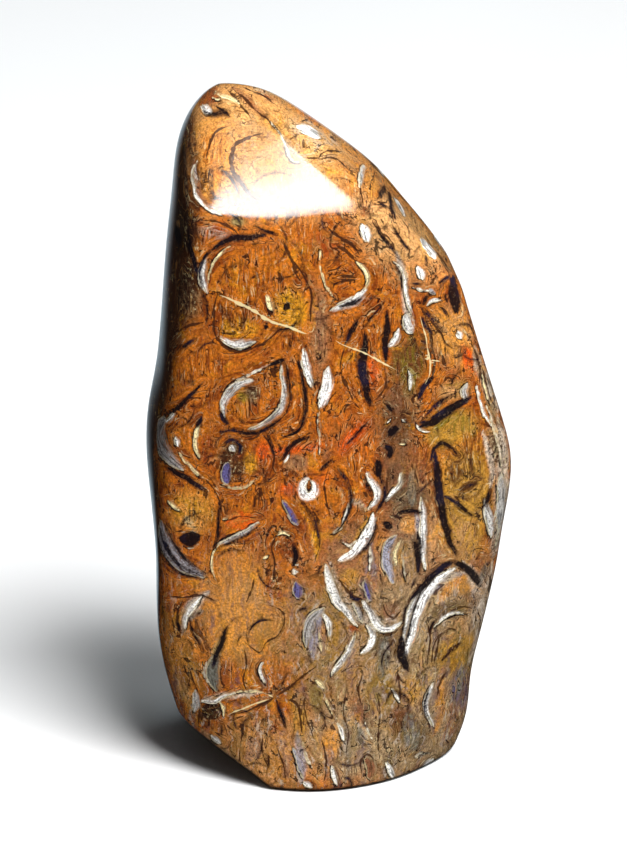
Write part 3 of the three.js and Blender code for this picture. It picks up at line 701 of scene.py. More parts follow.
# Healed cracks, pale and hair-thin: half width in mm, and the points in pixels of the photo.
CRACKS = {
    "oval healed crack": (0.36, [
        (219, 295), (232, 300), (245, 306), (256, 312), (266, 319), (280, 324), (295, 330),
        (308, 334),
    ]),
    "long healed crack": (0.26, [
        (334, 339), (342, 344), (352, 349), (366, 354), (380, 361), (398, 371),
    ]),
    "end healed crack": (0.16, [(424, 358), (432, 360), (440, 361)]),
    "right long arc": (0.17, [(420, 316), (424, 332), (428, 348), (430, 362), (429, 374), (424, 385)]),
    "vein branch": (0.2, [(228, 715), (240, 710), (253, 705), (270, 699)]),
}


def srgb(hexcode):
    """Linear RGB of an sRGB hex colour."""
    parts = [int(hexcode[i:i + 2], 16) / 255 for i in (0, 2, 4)]
    return tuple(c / 12.92 if c <= 0.04045 else ((c + 0.055) / 1.055) ** 2.4 for c in parts)


def colour(name):
    """Linear RGB of a named colour of the stone."""
    return np.array(srgb(COLOURS[name]))


def tone_colour(tone):
    """Colour of a shell: named, or from 0 (lavender) over grey to 1 (white)."""
    if isinstance(tone, str):
        return colour(tone)
    if tone < 0.5:
        return colour("lavender") + 2 * tone * (colour("grey") - colour("lavender"))
    return colour("grey") + (2 * tone - 1) * (colour("white") - colour("grey"))


def toward_camera():
    """Direction from the stone to the camera."""
    return Vector((0, -math.cos(CAMERA_ELEVATION), math.sin(CAMERA_ELEVATION)))


# The stone's mesh


def cage_mesh():
    """The CAD solid as quads where it is polished and flat polygons where it is sawn."""
    bm = bmesh.new()
    bm.from_mesh(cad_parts[STONE].data)
    bmesh.ops.remove_doubles(bm, verts=bm.verts, dist=WELD)
    bmesh.ops.recalc_face_normals(bm, faces=bm.faces)
    flat = [
        e for e in bm.edges
        if e.calc_face_angle(1) < FLAT_ANGLE and all(f.normal.z < SAWN_NORMAL for f in e.link_faces)
    ]
    bmesh.ops.dissolve_edges(bm, edges=flat, use_verts=False)
    triangles = [f for f in bm.faces if len(f.verts) == 3]
    bmesh.ops.join_triangles(bm, faces=triangles, **JOIN_ANGLES)
    rims = [e for e in bm.edges if e.calc_face_angle(0) > RIM_ANGLE]
    bmesh.ops.bevel(bm, geom=rims, offset=RIM_EASE, segments=1, affect="EDGES", profile=0.5)
    mesh = bpy.data.meshes.new("stone_cage")
    bm.to_mesh(mesh)
    bm.free()
    return mesh


def refine_front(mesh):
    """Halves the facets that face the camera, which carry the finest marks."""
    toward = toward_camera()
    bm = bmesh.new()
    bm.from_mesh(mesh)
    front = [f for f in bm.faces if f.normal.dot(toward) > FACING_LIMIT]
    edges = list({e for f in front for e in f.edges})
    bmesh.ops.subdivide_edges(bm, edges=edges, cuts=1, use_grid_fill=True)
    bm.to_mesh(mesh)
    bm.free()


def make_stone():
    """The polished stone: the cage divided smoothly, with finer facets in front."""
    cage = bpy.data.objects.new("stone_cage", cage_mesh())
    bpy.context.collection.objects.link(cage)
    divide = cage.modifiers.new("divide", "SUBSURF")
    divide.levels = DIVISIONS
    divide.render_levels = DIVISIONS
    bpy.context.view_layer.update()
    evaluated = cage.evaluated_get(bpy.context.evaluated_depsgraph_get())
    mesh = bpy.data.meshes.new_from_object(evaluated)
    mesh.name = "polished_stone"
    bpy.data.objects.remove(cage)
    refine_front(mesh)
    mesh.shade_smooth()
    stone = bpy.data.objects.new("polished_stone", mesh)
    bpy.context.collection.objects.link(stone)
    return stone


def vertex_array(source, field):
    """One row for each vertex, from a mesh's vertices or its vertex normals."""
    values = np.empty(len(source) * 3)
    source.foreach_get(field, values)
    return values.reshape(-1, 3)


def away_from_rim(places):
    """1 on the polished surface and 0 on and near the sawn facets, whose edges stay crisp."""
    return np.clip((places[:, 2] / MM - HELD_HEIGHT) / HELD_FADE, 0, 1)


def relax(mesh):
    """Evens the polished surface out, so that reflections run smoothly over it."""
    places = vertex_array(mesh.vertices, "co")
    edges = np.empty(len(mesh.edges) * 2, int)
    mesh.edges.foreach_get("vertices", edges)
    a, b = edges.reshape(-1, 2).T
    count = np.bincount(a, minlength=len(places)) + np.bincount(b, minlength=len(places))
    free = away_from_rim(places)[:, None]
    for _ in range(RELAX_ROUNDS):
        total = np.stack([
            np.bincount(a, places[b, i], len(places)) + np.bincount(b, places[a, i], len(places))
            for i in range(3)
        ], axis=1)
        places += free * RELAX_SHARE * (total / count[:, None] - places)
    mesh.vertices.foreach_set("co", places.ravel())
    mesh.update()


# Marks: each is a field over the stone's vertices, in mm, which is positive inside the mark


def photo_places(places):
    """Where each point of the stone appears in the photo, in mm at the stone's middle."""
    up = np.array([0, math.sin(CAMERA_ELEVATION), math.cos(CAMERA_ELEVATION)])
    forward = np.array([0, math.cos(CAMERA_ELEVATION), -math.sin(CAMERA_ELEVATION)])
    sight = places - (np.array(AIM) - CAMERA_DISTANCE * forward)
    scale = CAMERA_DISTANCE / (sight @ forward) / MM
    across = sight[:, 0] * scale + MM_PER_PIXEL * PICTURE[0] / 2
    down = -(sight @ up) * scale + MM_PER_PIXEL * PICTURE[1] / 2
    return np.stack([across, down], axis=1)


def smooth_path(points):
    """A smooth curve through the points of a mark, in mm."""
    p = np.array(points, float) * MM_PER_PIXEL
    p = np.vstack([2 * p[0] - p[1], p, 2 * p[-1] - p[-2]])
    t = np.linspace(0, 1, STEPS_BETWEEN_POINTS, endpoint=False)[:, None]
    spans = []
    for a, b, c, d in zip(p, p[1:], p[2:], p[3:]):
        spans.append(b + 0.5 * t * (c - a + t * (2 * a - 5 * b + 4 * c - d + t * (3 * (b - c) + d - a))))
    return np.vstack(spans + [p[-2:-1]])


def follow(spots, path):
    """Distance to a path, side of it (-1 or 1) and share along it for each spot, and its length."""
    nearest = np.full(len(spots), np.inf)
    side = np.ones(len(spots))
    place = np.zeros(len(spots))
    walked = 0
    for a, b in zip(path, path[1:]):
        step = b - a
        length = np.hypot(*step)
        rel = spots - a
        share = np.clip(rel @ step / length ** 2, 0, 1)
        off = rel - share[:, None] * step
        distance = np.hypot(off[:, 0], off[:, 1])
        closer = distance < nearest
        nearest = np.where(closer, distance, nearest)
        side = np.where(closer, np.sign(step[0] * rel[:, 1] - step[1] * rel[:, 0]), side)
        place = np.where(closer, walked + share * length, place)
        walked += length
    return nearest, side, place / walked, walked


def near_path(spots, path, margin):
    """Numbers of the spots in the box round a path."""
    low = path.min(axis=0) - margin
    high = path.max(axis=0) + margin
    return np.nonzero(((spots > low) & (spots < high)).all(axis=1))[0]


def lens_width(share):
    """Width of a lens along its length: full in the middle, pointed at both ends."""
    return (4 * share * (1 - share)) ** 0.6


def stroke_marks(spots, depths, strokes):
    """Field of all strokes, and for each spot its course and the number of the nearest stroke.

    Depths are how far back each spot lies, and nan where the camera doesn't see it. A stroke keeps
    to its own depth, so that it isn't drawn out along a flank seen at a low angle.
    """
    field = np.full(len(spots), -REACH)
    course = np.zeros((len(spots), 3))
    owner = np.zeros(len(spots), int)
    for number, (width, points) in enumerate(strokes):
        path = smooth_path(points)
        some = near_path(spots, path, REACH)
        distance, side, share, length = follow(spots[some], path)
        depth = width * lens_width(share) - distance
        seen = (depth > 0) & ~np.isnan(depths[some])
        if seen.sum() > FEWEST_FOR_TREND:
            trend = np.polyfit(share[seen], depths[some][seen], 1)
            behind = np.abs(np.nan_to_num(depths[some]) - np.polyval(trend, share))
            depth -= DEPTH_FADE * np.maximum(0, behind - DEPTH_REACH)
        better = depth > field[some]
        some = some[better]
        field[some] = depth[better]
        owner[some] = number
        course[some, 0] = (side * distance)[better]
        course[some, 1] = (share * length)[better]
        course[some, 2] = STROKE_GAP * number
    return field, course, owner


def line_marks(spots, lines):
    """Signed distance from the nearest thin line, and that line's half width there."""
    nearest = np.full(len(spots), REACH)
    side = np.full(len(spots), REACH)
    width = np.zeros(len(spots))
    for half, points in lines:
        path = smooth_path(points)
        some = near_path(spots, path, LINE_REACH)
        distance, sign, share, _ = follow(spots[some], path)
        inside = (distance < np.minimum(nearest[some], LINE_REACH)) & (share > 0) & (share < 1)
        some = some[inside]
        nearest[some] = distance[inside]
        side[some] = (sign * distance)[inside]
        width[some] = (half * np.minimum(1, 6 * share * (1 - share)))[inside]
    return side, width


def ellipse_share(spots, centre, radii, turn):
    """How far each spot lies from an ellipse's centre, as a share of the way to its edge."""
    rel = spots - np.array(centre) * MM_PER_PIXEL
    c, s = math.cos(math.radians(turn)), math.sin(math.radians(turn))
    x = (c * rel[:, 0] + s * rel[:, 1]) / (radii[0] * MM_PER_PIXEL)
    y = (c * rel[:, 1] - s * rel[:, 0]) / (radii[1] * MM_PER_PIXEL)
    return np.hypot(x, y)


def smoothstep(low, high, x):
    """0 where x is low and 1 where it is high, with a smooth rise between them."""
    t = np.clip((x - low) / (high - low), 0, 1)
    return t * t * (3 - 2 * t)


def rough(places, spacing, seed):
    """Smooth random values from -1 to 1, one for each place, about a spacing in mm apart."""
    offset = Vector((seed * 17.1, seed * 5.3, seed * 29.7))
    scaled = places / (spacing * MM)
    return np.array([noise.noise(Vector(p) + offset) for p in scaled])


def scattered_sheets(places, origins, seed, count, radii, widths, spread):
    """Field of curved sheets set at random round the origins, each a part of a ball's skin."""
    rng = np.random.default_rng(seed)
    field = np.full(len(places), -REACH)
    course = np.zeros((len(places), 3))
    spots = places / MM
    for number in range(count):
        centre = origins[rng.integers(len(origins))] / MM + rng.normal(0, SHEET_SCATTER, 3)
        radius = rng.uniform(*radii)
        width = rng.uniform(*widths)
        reach = rng.uniform(*spread)
        axis = rng.normal(size=3)
        axis /= np.linalg.norm(axis)
        some = np.nonzero((np.abs(spots - centre) < radius + REACH).all(axis=1))[0]
        rel = spots[some] - centre
        distance = np.linalg.norm(rel, axis=1) + 1e-6
        angle = np.arccos(np.clip(rel @ axis / distance, -1, 1)) / reach
        side = distance - radius
        depth = width * (1 - angle ** 2) - np.abs(side)
        better = depth > field[some]
        some = some[better]
        field[some] = depth[better]
        course[some, 0] = side[better]
        course[some, 1] = (angle * reach * radius)[better]
        course[some, 2] = SHEET_GAP * number
    return field, course


def blend(rows, weight, name):
    """Blends a named colour into rows of colours, in place, by a weight for each row."""
    rows += weight[:, None] * (colour(name) - rows)


def front_grounds_and_painted_light(spots, places):
    """Both colours of the ground that the photo shows, painted light, shade, highlight and reflection
    included, and how speckled it is.
    """
    main = np.tile(colour("orange"), (len(spots), 1))
    second = np.tile(colour("red brown"), (len(spots), 1))
    speckle = np.zeros(len(spots))
    ragged = 0.16 * rough(places, spacing=5, seed=1) + 0.1 * rough(places, spacing=1.8, seed=2)
    for centre, radii, turn, name, other, softness, grain in ZONES.values():
        share = ellipse_share(spots, centre, radii, turn) + ragged
        weight = 1 - smoothstep(1 - softness, 1 + 0.25 * softness, share)
        blend(main, weight, name)
        blend(second, weight, other)
        speckle += weight * (grain - speckle)
    # Streaks of ground colour, among them painted shade, a painted highlight and a painted reflection.
    for width, name, other, points in HAZES.values():
        path = smooth_path(points)
        some = near_path(spots, path, width)
        distance, _, share, _ = follow(spots[some], path)
        fade = 1 - distance / (width * lens_width(share) + 0.01) + 2.2 * ragged[some]
        weight = 0.85 * smoothstep(0, 0.7, fade)[:, None]
        main[some] += weight * (colour(name) - main[some])
        second[some] += weight * (colour(other) - second[some])
    return main, second, speckle


def clouded_grounds(places):
    """Both ground colours of the sides and the back, in broad clouds and greyer low down."""
    main = np.tile(colour("orange"), (len(places), 1))
    second = np.tile(colour("mauve"), (len(places), 1))
    heights = places[:, 2] / MM + HEIGHT_SWAY * rough(places, spacing=20, seed=6)
    layers = [
        (HEIGHT_TINT - HEIGHT_TINT * smoothstep(*FOOT_HEIGHTS, heights), "sand", "grey brown"),
        (HEIGHT_TINT * smoothstep(*CROWN_HEIGHTS, heights), "light orange", "washed"),
    ]
    for seed, (name, other, strength) in enumerate(CLOUDS, 20):
        cloud = smoothstep(*CLOUD_EDGE, rough(places, spacing=13, seed=seed))
        layers.append((strength * cloud, name, other))
    for weight, name, other in layers:
        blend(main, weight, name)
        blend(second, weight, other)
    return main, second


def store(mesh, name, values):
    """Keeps one value or one row of three for each vertex, under a name the material reads."""
    kind, field = ("FLOAT", "value") if values.ndim == 1 else ("FLOAT_VECTOR", "vector")
    layer = mesh.attributes.new(name, kind, "POINT")
    layer.data.foreach_set(field, values.astype(np.float32).ravel())


def front_share(places, normals):
    """1 where the photo shows the stone and 0 elsewhere, with a ragged border between them."""
    turned = smoothstep(*BORDER_TURNS, normals @ np.array(toward_camera()))
    depths = places[:, 1] / MM + BORDER_SWAY * rough(places, spacing=7, seed=10)
    return turned * (1 - smoothstep(*BORDER_DEPTHS, depths))


def store_grounds(mesh, places, spots, front):
    """Stores both ground colours and the speckle: listed in front and clouded elsewhere."""
    main, second, speckle = front_grounds_and_painted_light(spots, places)
    rear_main, rear_second = clouded_grounds(places)
    share = front[:, None]
    # In front the ground colours also hold painted light, painted shade, a painted highlight and a
    # painted reflection.
    store(mesh, "ground", share * main + (1 - share) * rear_main)
    store(mesh, "second", share * second + (1 - share) * rear_second)
    store(mesh, "speckle", speckle * front + REAR_SPECKLE * (1 - front))


def lay_over(field, course, other, other_course):
    """Lays other marks over a field and its course, in place, and says where they are on top."""
    on_top = other > field
    field[on_top] = other[on_top]
    course[on_top] = other_course[on_top]
    return on_top


def sheet_tones():
    """A random shell colour for each pale sheet."""
    rng = np.random.default_rng(5)
    return np.array([tone_colour(tone) for tone in rng.uniform(*SHEET_TONES, PALE_SHEET_COUNT)])


def flow_field(spots, marks):
    """Course of the mark nearest to each spot, and an upright course where no mark is near."""
    nearest, flow = (values.copy() for values in marks[0])
    for field, course in marks[1:]:
        closer = field > nearest
        flow[closer] = course[closer] + (0, 0, KIND_GAP)
        nearest[closer] = field[closer]
    upright = nearest < -FLOW_REACH
    flow[upright] = np.column_stack([spots, np.zeros(len(spots))])[upright]
    return flow


def mark_stone(mesh):
    """Stores every field that the jasper material reads."""
    places = vertex_array(mesh.vertices, "co")
    front = front_share(places, vertex_array(mesh.vertex_normals, "vector"))
    sway = np.stack([rough(places, spacing=4, seed=seed) for seed in (3, 4)], axis=1)
    spots = photo_places(places) + SWAY * sway
    store_grounds(mesh, places, spots, front)

    depths = np.where(front > 0.5, places[:, 1] / MM, np.nan)
    shells, shell_course, owner = stroke_marks(spots, depths, [(w, p) for w, _, p in SHELLS.values()])
    inks, ink_course, _ = stroke_marks(spots, depths, INKS.values())
    threads, thread_course, _ = stroke_marks(spots, depths, LINES.values())
    for field in (shells, inks, threads):
        field -= (1 - front) * 2 * REACH
    shell_tone = np.array([tone_colour(tone) for _, tone, _ in SHELLS.values()])[owner]

    rear = places[front < 0.5]
    sheets, sheet_course = scattered_sheets(places, rear, *PALE_SHEETS)
    sheets -= front * 2 * REACH
    on_top = lay_over(shells, shell_course, sheets, sheet_course)
    shell_tone[on_top] = sheet_tones()[(sheet_course[on_top, 2] / SHEET_GAP).astype(int)]
    dark_sheets, dark_course = scattered_sheets(places, rear, *DARK_SHEETS)
    dark_sheets -= front * 2 * REACH
    lay_over(inks, ink_course, dark_sheets, dark_course)

    marks = [(shells, shell_course), (inks, ink_course), (threads, thread_course)]
    store(mesh, "flow", flow_field(spots, marks))

    dashes, dash_course = scattered_sheets(places, places, *DASHES)
    dashes -= (1 - smoothstep(*DASH_CLEARANCE, -np.maximum(shells, inks))) * REACH
    lay_over(inks, ink_course, dashes, dash_course)

    store(mesh, "shell", shells)
    store(mesh, "shell_course", shell_course)
    store(mesh, "shell_tone", shell_tone)
    store(mesh, "ink", inks)
    store(mesh, "ink_course", ink_course)
    for name, lines in (("line", LINES), ("crack", CRACKS)):
        side, width = line_marks(spots, lines.values())
        store(mesh, name + "_side", side)
        store(mesh, name + "_width", width * front)


# The jasper material


class Shader:
    """Short calls for building a node tree: each returns the new node's output socket."""

    def __init__(self, tree):
        self.tree = tree

    def node(self, kind, inputs=(), output=0, **settings):
        made = self.tree.nodes.new(kind)
        for name, value in settings.items():
            setattr(made, name, value)
        for key, value in dict(inputs).items():
            if isinstance(value, bpy.types.NodeSocket):
                self.tree.links.new(value, made.inputs[key])
            else:
                made.inputs[key].default_value = value
        return made.outputs[output]

    def attribute(self, name, output="Fac"):
        return self.node("ShaderNodeAttribute", attribute_name=name, output=output)

    def axis(self, place, number):
        return self.node("ShaderNodeSeparateXYZ", {0: place}, output=number)

    def math(self, operation, a, b=0.0, c=0.0):
        return self.node("ShaderNodeMath", {0: a, 1: b, 2: c}, operation=operation)

    def times(self, first, *others):
        rest = self.times(*others) if len(others) > 1 else others[0]
        return self.math("MULTIPLY", first, rest)

    def vector(self, operation, a, b=(0, 0, 0)):
        return self.node("ShaderNodeVectorMath", {0: a, 1: b}, operation=operation)

    def step(self, value, low, high, to_low=0.0, to_high=1.0):
        """A smooth step from to_low, where the value is low, to to_high, where it is high."""
        inputs = {"Value": value, "From Min": low, "From Max": high, "To Min": to_low, "To Max": to_high}
        return self.node("ShaderNodeMapRange", inputs, interpolation_type="SMOOTHSTEP")

    def noise(self, place, scale, detail, roughness=0.55, distortion=0.0, output="Fac"):
        inputs = {
            "Vector": place, "Scale": scale, "Detail": detail, "Roughness": roughness,
            "Distortion": distortion,
        }
        return self.node("ShaderNodeTexNoise", inputs, output=output)

    def streaks(self, place, squeeze, detail, roughness=0.55, distortion=0.0):
        """Noise squeezed by a factor along each axis."""
        squeezed = self.vector("MULTIPLY", place, squeeze)
        return self.noise(squeezed, 1.0, detail, roughness, distortion)

    def mix(self, share, a, b):
        return self.node("ShaderNodeMix", {"Factor": share, 6: a, 7: b}, output=2, data_type="RGBA")

    def paint(self, base, share, name):
        return self.mix(share, base, (*srgb(COLOURS[name]), 1))

    def shade(self, base, amount):
        """The base made brighter or darker by an amount."""
        grey = self.node("ShaderNodeCombineXYZ", {0: amount, 1: amount, 2: amount})
        return self.vector("MULTIPLY", base, grey)

    def feed(self, node, name, value):
        self.tree.links.new(value, node.inputs[name])


def contours(s, value, count, gate, width):
    """Evenly spaced contours of a smooth value: dark lines and a light line beside each."""
    phase = s.math("FRACT", s.math("MULTIPLY", value, count))
    off = s.math("ABSOLUTE", s.math("SUBTRACT", phase, 0.5))
    reach = s.step(gate, 0.4, 0.62, 0.0, width)
    dark = s.step(s.math("SUBTRACT", reach, off), 0.0, 0.4 * width)
    beside = s.math("ABSOLUTE", s.math("SUBTRACT", phase, 0.5 + 1.6 * width))
    light = s.step(s.math("SUBTRACT", reach, beside), 0.0, 0.6 * width)
    return dark, light


def mottled_ground(s, place, warped, flow):
    """Both ground colours, mixed in fibres along the flow and in mottles, with a fine grain."""
    fibre = s.streaks(flow, (0.75, 0.1, 1.0), detail=4, roughness=0.6, distortion=0.3)
    mottle = s.noise(warped, scale=0.16, detail=5, roughness=0.6, distortion=0.8)
    share = s.math("ADD", s.times(fibre, 0.6), s.times(mottle, 0.4))
    # The ground colours hold, in places, painted light, painted shade, a painted highlight and a painted
    # reflection.
    ground, second = s.attribute("ground", "Vector"), s.attribute("second", "Vector")
    base = s.mix(s.step(share, 0.46, 0.58, 0.0, 0.85), ground, second)
    base = s.paint(base, s.step(mottle, 0.3, 0.44, 0.4, 0.0), "yellow")
    grain = s.noise(place, scale=1.7, detail=6, roughness=0.75)
    base = s.shade(base, s.step(grain, 0.32, 0.68, 0.5, 1.65))
    return s.shade(base, s.step(fibre, 0.35, 0.65, 1.2, 0.75))


def hair_layer(s, base, place, flow, calm):
    """Pale and dark hairs along the flow, thicker in some places than in others."""
    hair = s.streaks(flow, (2.2, 0.3, 1.0), detail=3, roughness=0.65, distortion=0.5)
    crowd = s.noise(s.vector("ADD", place, (50, 50, 0)), scale=0.11, detail=2)
    busy = s.times(s.step(crowd, 0.42, 0.6, 0.15, 0.85), calm)
    base = s.paint(base, s.times(s.step(hair, 0.58, 0.66), busy, 0.7), "cream")
    return s.paint(base, s.times(s.step(hair, 0.34, 0.44, 1.0, 0.0), busy), "dark brown")


def low_streak_layer(s, base, place, warped, calm):
    """Upright streaks, broad and narrow, in the lower part of the stone."""
    low_down = s.step(s.axis(place, 2), 38, 82, 0.8, 0.0)
    broad = s.streaks(warped, (0.3, 0.3, 0.06), detail=3, roughness=0.6)
    base = s.paint(base, s.times(s.step(broad, 0.54, 0.62), low_down, 0.5), "moss")
    base = s.paint(base, s.times(s.step(broad, 0.36, 0.45, 1.0, 0.0), low_down, 0.5), "plum")
    narrow = s.streaks(warped, (0.75, 0.75, 0.09), detail=4, roughness=0.65)
    base = s.paint(base, s.times(s.step(narrow, 0.56, 0.68, 0.0, 0.8), low_down, calm), "pale")
    return s.paint(base, s.times(s.step(narrow, 0.3, 0.46, 1.0, 0.0), low_down, calm), "brown")


def contour_layer(s, base, place, warped, flow, calm):
    """Brush-like lines: broad ones along the flow and small ones that curl freely."""
    gate = s.noise(place, scale=0.16, detail=3)
    broad = s.streaks(flow, (0.28, 0.05, 1.0), detail=1.6, roughness=0.4, distortion=0.3)
    dark, light = contours(s, broad, 9.0, gate, 0.1)
    base = s.paint(base, s.times(light, 0.4), "washed")
    base = s.paint(base, s.times(dark, calm, 0.9), "dark brown")
    gate = s.noise(s.vector("ADD", place, (90, 0, 40)), scale=0.22, detail=3)
    tall = s.vector("ADD", s.vector("MULTIPLY", warped, (1, 1, 0.6)), (0, 70, 30))
    small = s.noise(tall, scale=0.2, detail=2, roughness=0.5, distortion=0.6)
    dark, light = contours(s, small, 6.0, gate, 0.09)
    base = s.paint(base, s.times(light, 0.12), "cream")
    return s.paint(base, s.times(dark, calm, 0.85), "ink")


def speck_layer(s, base, place, speckle):
    """Bright and dark specks, more of them where the ground is speckled."""
    speck = s.noise(place, scale=1, detail=5, roughness=0.8)
    bright = s.step(s.math("ADD", speck, s.times(speckle, -0.12)), 0.24, 0.3, 0.8, 0.0)
    base = s.paint(base, bright, "cream")
    low = s.math("MULTIPLY_ADD", speckle, -0.14, 0.64)
    return s.paint(base, s.step(s.math("SUBTRACT", speck, low), 0.0, 0.04, 0.0, 0.9), "dark brown")


def ground_layer(s, place, warped):
    """The jasper's ground: mottled, with fibres and brush-like lines that flow round the marks."""
    flow = s.vector("ADD", s.attribute("flow", "Vector"), s.vector("MULTIPLY", warped, (0.25, 0, 0)))
    speckle = s.attribute("speckle")
    calm = s.step(speckle, -0.6, 0.0, 0.2, 1.0)
    base = mottled_ground(s, place, warped, flow)
    base = hair_layer(s, base, place, flow, calm)
    base = low_streak_layer(s, base, place, warped, calm)
    base = contour_layer(s, base, place, warped, flow, calm)
    return speck_layer(s, base, place, speckle)


def shell_layer(s, base, place, ragged):
    """Lenses of chalcedony: streaked white to grey, crisp and outlined on one side only."""
    path = s.attribute("shell_course", "Vector")
    streak = s.streaks(path, (2.2, 0.22, 1.0), detail=3, roughness=0.6, distortion=0.5)
    feather = s.times(s.math("SUBTRACT", streak, 0.5), 0.9)
    depth = s.math("ADD", s.math("ADD", s.attribute("shell"), ragged), feather)
    keep = s.step(s.streaks(path, (0.4, 0.16, 1.0), detail=2), 0.38, 0.54)
    side = s.axis(path, 0)
    outer = s.step(side, -0.2, 0.2, 0.25, 1.0)
    rim = s.times(s.step(depth, -0.55, -0.25), keep, outer)
    base = s.paint(base, s.times(rim, 0.95), "ink")
    dust = s.noise(place, scale=1.8, detail=4, roughness=0.75)
    tint = s.shade(s.attribute("shell_tone", "Vector"), s.step(streak, 0.36, 0.56, 0.3, 1.3))
    tint = s.shade(tint, s.step(dust, 0.35, 0.65, 1.35, 0.6))
    tint = s.mix(s.step(dust, 0.52, 0.66, 0.0, 0.75), tint, base)
    tint = s.paint(tint, s.step(depth, 0.05, 0.5, 0.55, 0.0), "cream")
    softness = s.step(s.math("ADD", side, s.times(ragged, 2.0)), -0.4, 0.1, 1.0, 0.15)
    inside = s.node("ShaderNodeMapRange", {"Value": depth, "From Min": -0.08, "From Max": softness})
    return s.mix(inside, base, tint)


def ink_layer(s, base, place, ragged):
    """Dark brush strokes, almost black, feathered into fibres along their length."""
    path = s.attribute("ink_course", "Vector")
    fibre = s.streaks(path, (2.2, 0.16, 1.0), detail=3, roughness=0.6, distortion=0.3)
    feather = s.times(s.math("SUBTRACT", fibre, 0.5), 1.2)
    depth = s.math("ADD", s.math("ADD", s.attribute("ink"), ragged), feather)
    blueness = s.step(s.noise(place, scale=0.12, detail=3), 0.5, 0.68)
    dust = s.step(s.noise(place, scale=1.3, detail=4, roughness=0.7), 0.55, 0.7, 0.0, 0.3)
    tint = s.paint((*srgb(COLOURS["ink"]), 1), blueness, "navy")
    tint = s.paint(tint, dust, "grey brown")
    base = s.paint(base, s.step(depth, -0.55, 0.0, 0.0, 0.6), "dark brown")
    return s.mix(s.step(depth, -0.1, 0.25, 0.0, 0.95), base, tint)


def line_layer(s, base, place, kind, ink):
    """Hair lines that swell and thin out: kind is "line" or "crack"."""
    off = s.math("ABSOLUTE", s.attribute(kind + "_side"))
    swell = s.step(s.noise(place, scale=0.5, detail=3), 0.35, 0.65, 0.4, 1.5)
    width = s.times(s.attribute(kind + "_width"), swell)
    inside = s.step(s.math("SUBTRACT", width, off), -0.06, 0.08, 0.0, 0.9)
    return s.paint(base, inside, ink)


def jasper_material():
    """Polished jasper: the ground, then lines, lenses, strokes and healed cracks over it."""
    material = bpy.data.materials.new("jasper")
    material.use_nodes = True
    s = Shader(material.node_tree)
    metres = s.node("ShaderNodeTexCoord", output="Object")
    place = s.vector("MULTIPLY", metres, (1 / MM, 1 / MM, 1 / MM))
    sway = s.vector("SUBTRACT", s.noise(place, scale=0.25, detail=3, output="Color"), (0.5, 0.5, 0.5))
    warped = s.vector("ADD", place, s.vector("MULTIPLY", sway, (6, 6, 6)))
    fine = s.noise(place, scale=0.9, detail=4, roughness=0.65)
    ragged = s.times(s.math("SUBTRACT", fine, 0.5), 1.1)

    base = ground_layer(s, place, warped)
    base = line_layer(s, base, place, "line", "dark brown")
    base = shell_layer(s, base, place, ragged)
    base = ink_layer(s, base, place, ragged)
    base = line_layer(s, base, place, "crack", "cream")

    shader = material.node_tree.nodes["Principled BSDF"]
    s.feed(shader, "Base Color", base)
    wear = s.noise(place, scale=0.6, detail=4)
    s.feed(shader, "Roughness", s.step(wear, 0.3, 0.7, *POLISH))
    shader.inputs["IOR"].default_value = JASPER_IOR
    return material


# The camera and the studio


def make_camera():
    """The camera of the photo, which becomes the scene's camera."""
    data = bpy.data.cameras.new("camera")
    data.sensor_width = SENSOR
    data.lens = SENSOR * CAMERA_DISTANCE / VIEW_HEIGHT
    camera = bpy.data.objects.new("camera", data)
    camera.location = AIM + CAMERA_DISTANCE * toward_camera()
    camera.rotation_euler = (math.pi / 2 - CAMERA_ELEVATION, 0, 0)
    bpy.context.collection.objects.link(camera)
    bpy.context.scene.camera = camera


def from_azimuth(azimuth, elevation, distance):
    """A place round the stone: azimuth 0 is in front of it and 90 is to its right."""
    a, e = math.radians(azimuth), math.radians(elevation)
    offset = Vector((math.sin(a) * math.cos(e), -math.cos(a) * math.cos(e), math.sin(e)))
    return MIDDLE + distance * offset


def turn_to(place, aim):
    """The turn that makes a panel or a light at a place face its aim."""
    return (aim - place).to_track_quat("-Z", "Y").to_euler()


def area_light(name, azimuth, elevation, distance, size, brightness, tint):
    """A light that faces the stone. Brightness is how bright a white floor facing it would be."""
    data = bpy.data.lights.new(name, "AREA")
    data.shape = "RECTANGLE"
    data.size, data.size_y = size
    data.energy = brightness * math.pi ** 2 * distance ** 2
    data.color = tint
    light = bpy.data.objects.new(name, data)
    light.location = from_azimuth(azimuth, elevation, distance)
    light.rotation_euler = turn_to(light.location, MIDDLE)
    light.visible_glossy = False
    bpy.context.collection.objects.link(light)
    return light


def make_lights(stone):
    """All lights. Some shine on the stone alone, so that the floor keeps its one soft shadow."""
    only_stone = bpy.data.collections.new("only_stone")
    only_stone.objects.link(stone)
    for name, facts in LIGHTS.items():
        light = area_light(name, *facts)
        if name in STONE_LIGHTS:
            light.light_linking.receiver_collection = only_stone


def setting_piece(name, shape, **sizes):
    """A piece of the setting, made by one of bmesh's shape calls, and its shader and node tree."""
    bm = bmesh.new()
    shape(bm, **sizes)
    mesh = bpy.data.meshes.new(name)
    bm.to_mesh(mesh)
    bm.free()
    piece = bpy.data.objects.new(name, mesh)
    bpy.context.collection.objects.link(piece)
    material = bpy.data.materials.new(name)
    material.use_nodes = True
    mesh.materials.append(material)
    return piece, material.node_tree.nodes["Principled BSDF"], Shader(material.node_tree)


def glowing_panel(name, place, aim, size, tint):
    """A flat panel that only reflections show. Returns its shader and a builder for its nodes."""
    panel, shader, s = setting_piece(name, bmesh.ops.create_grid, x_segments=1, y_segments=1, size=0.5)
    panel.location = place
    panel.rotation_euler = turn_to(place, aim)
    panel.scale = (*size, 1)
    panel.visible_camera = False
    panel.visible_diffuse = False
    panel.visible_shadow = False
    shader.inputs["Base Color"].default_value = BLACK
    shader.inputs["Emission Color"].default_value = (*tint, 1)
    return shader, s


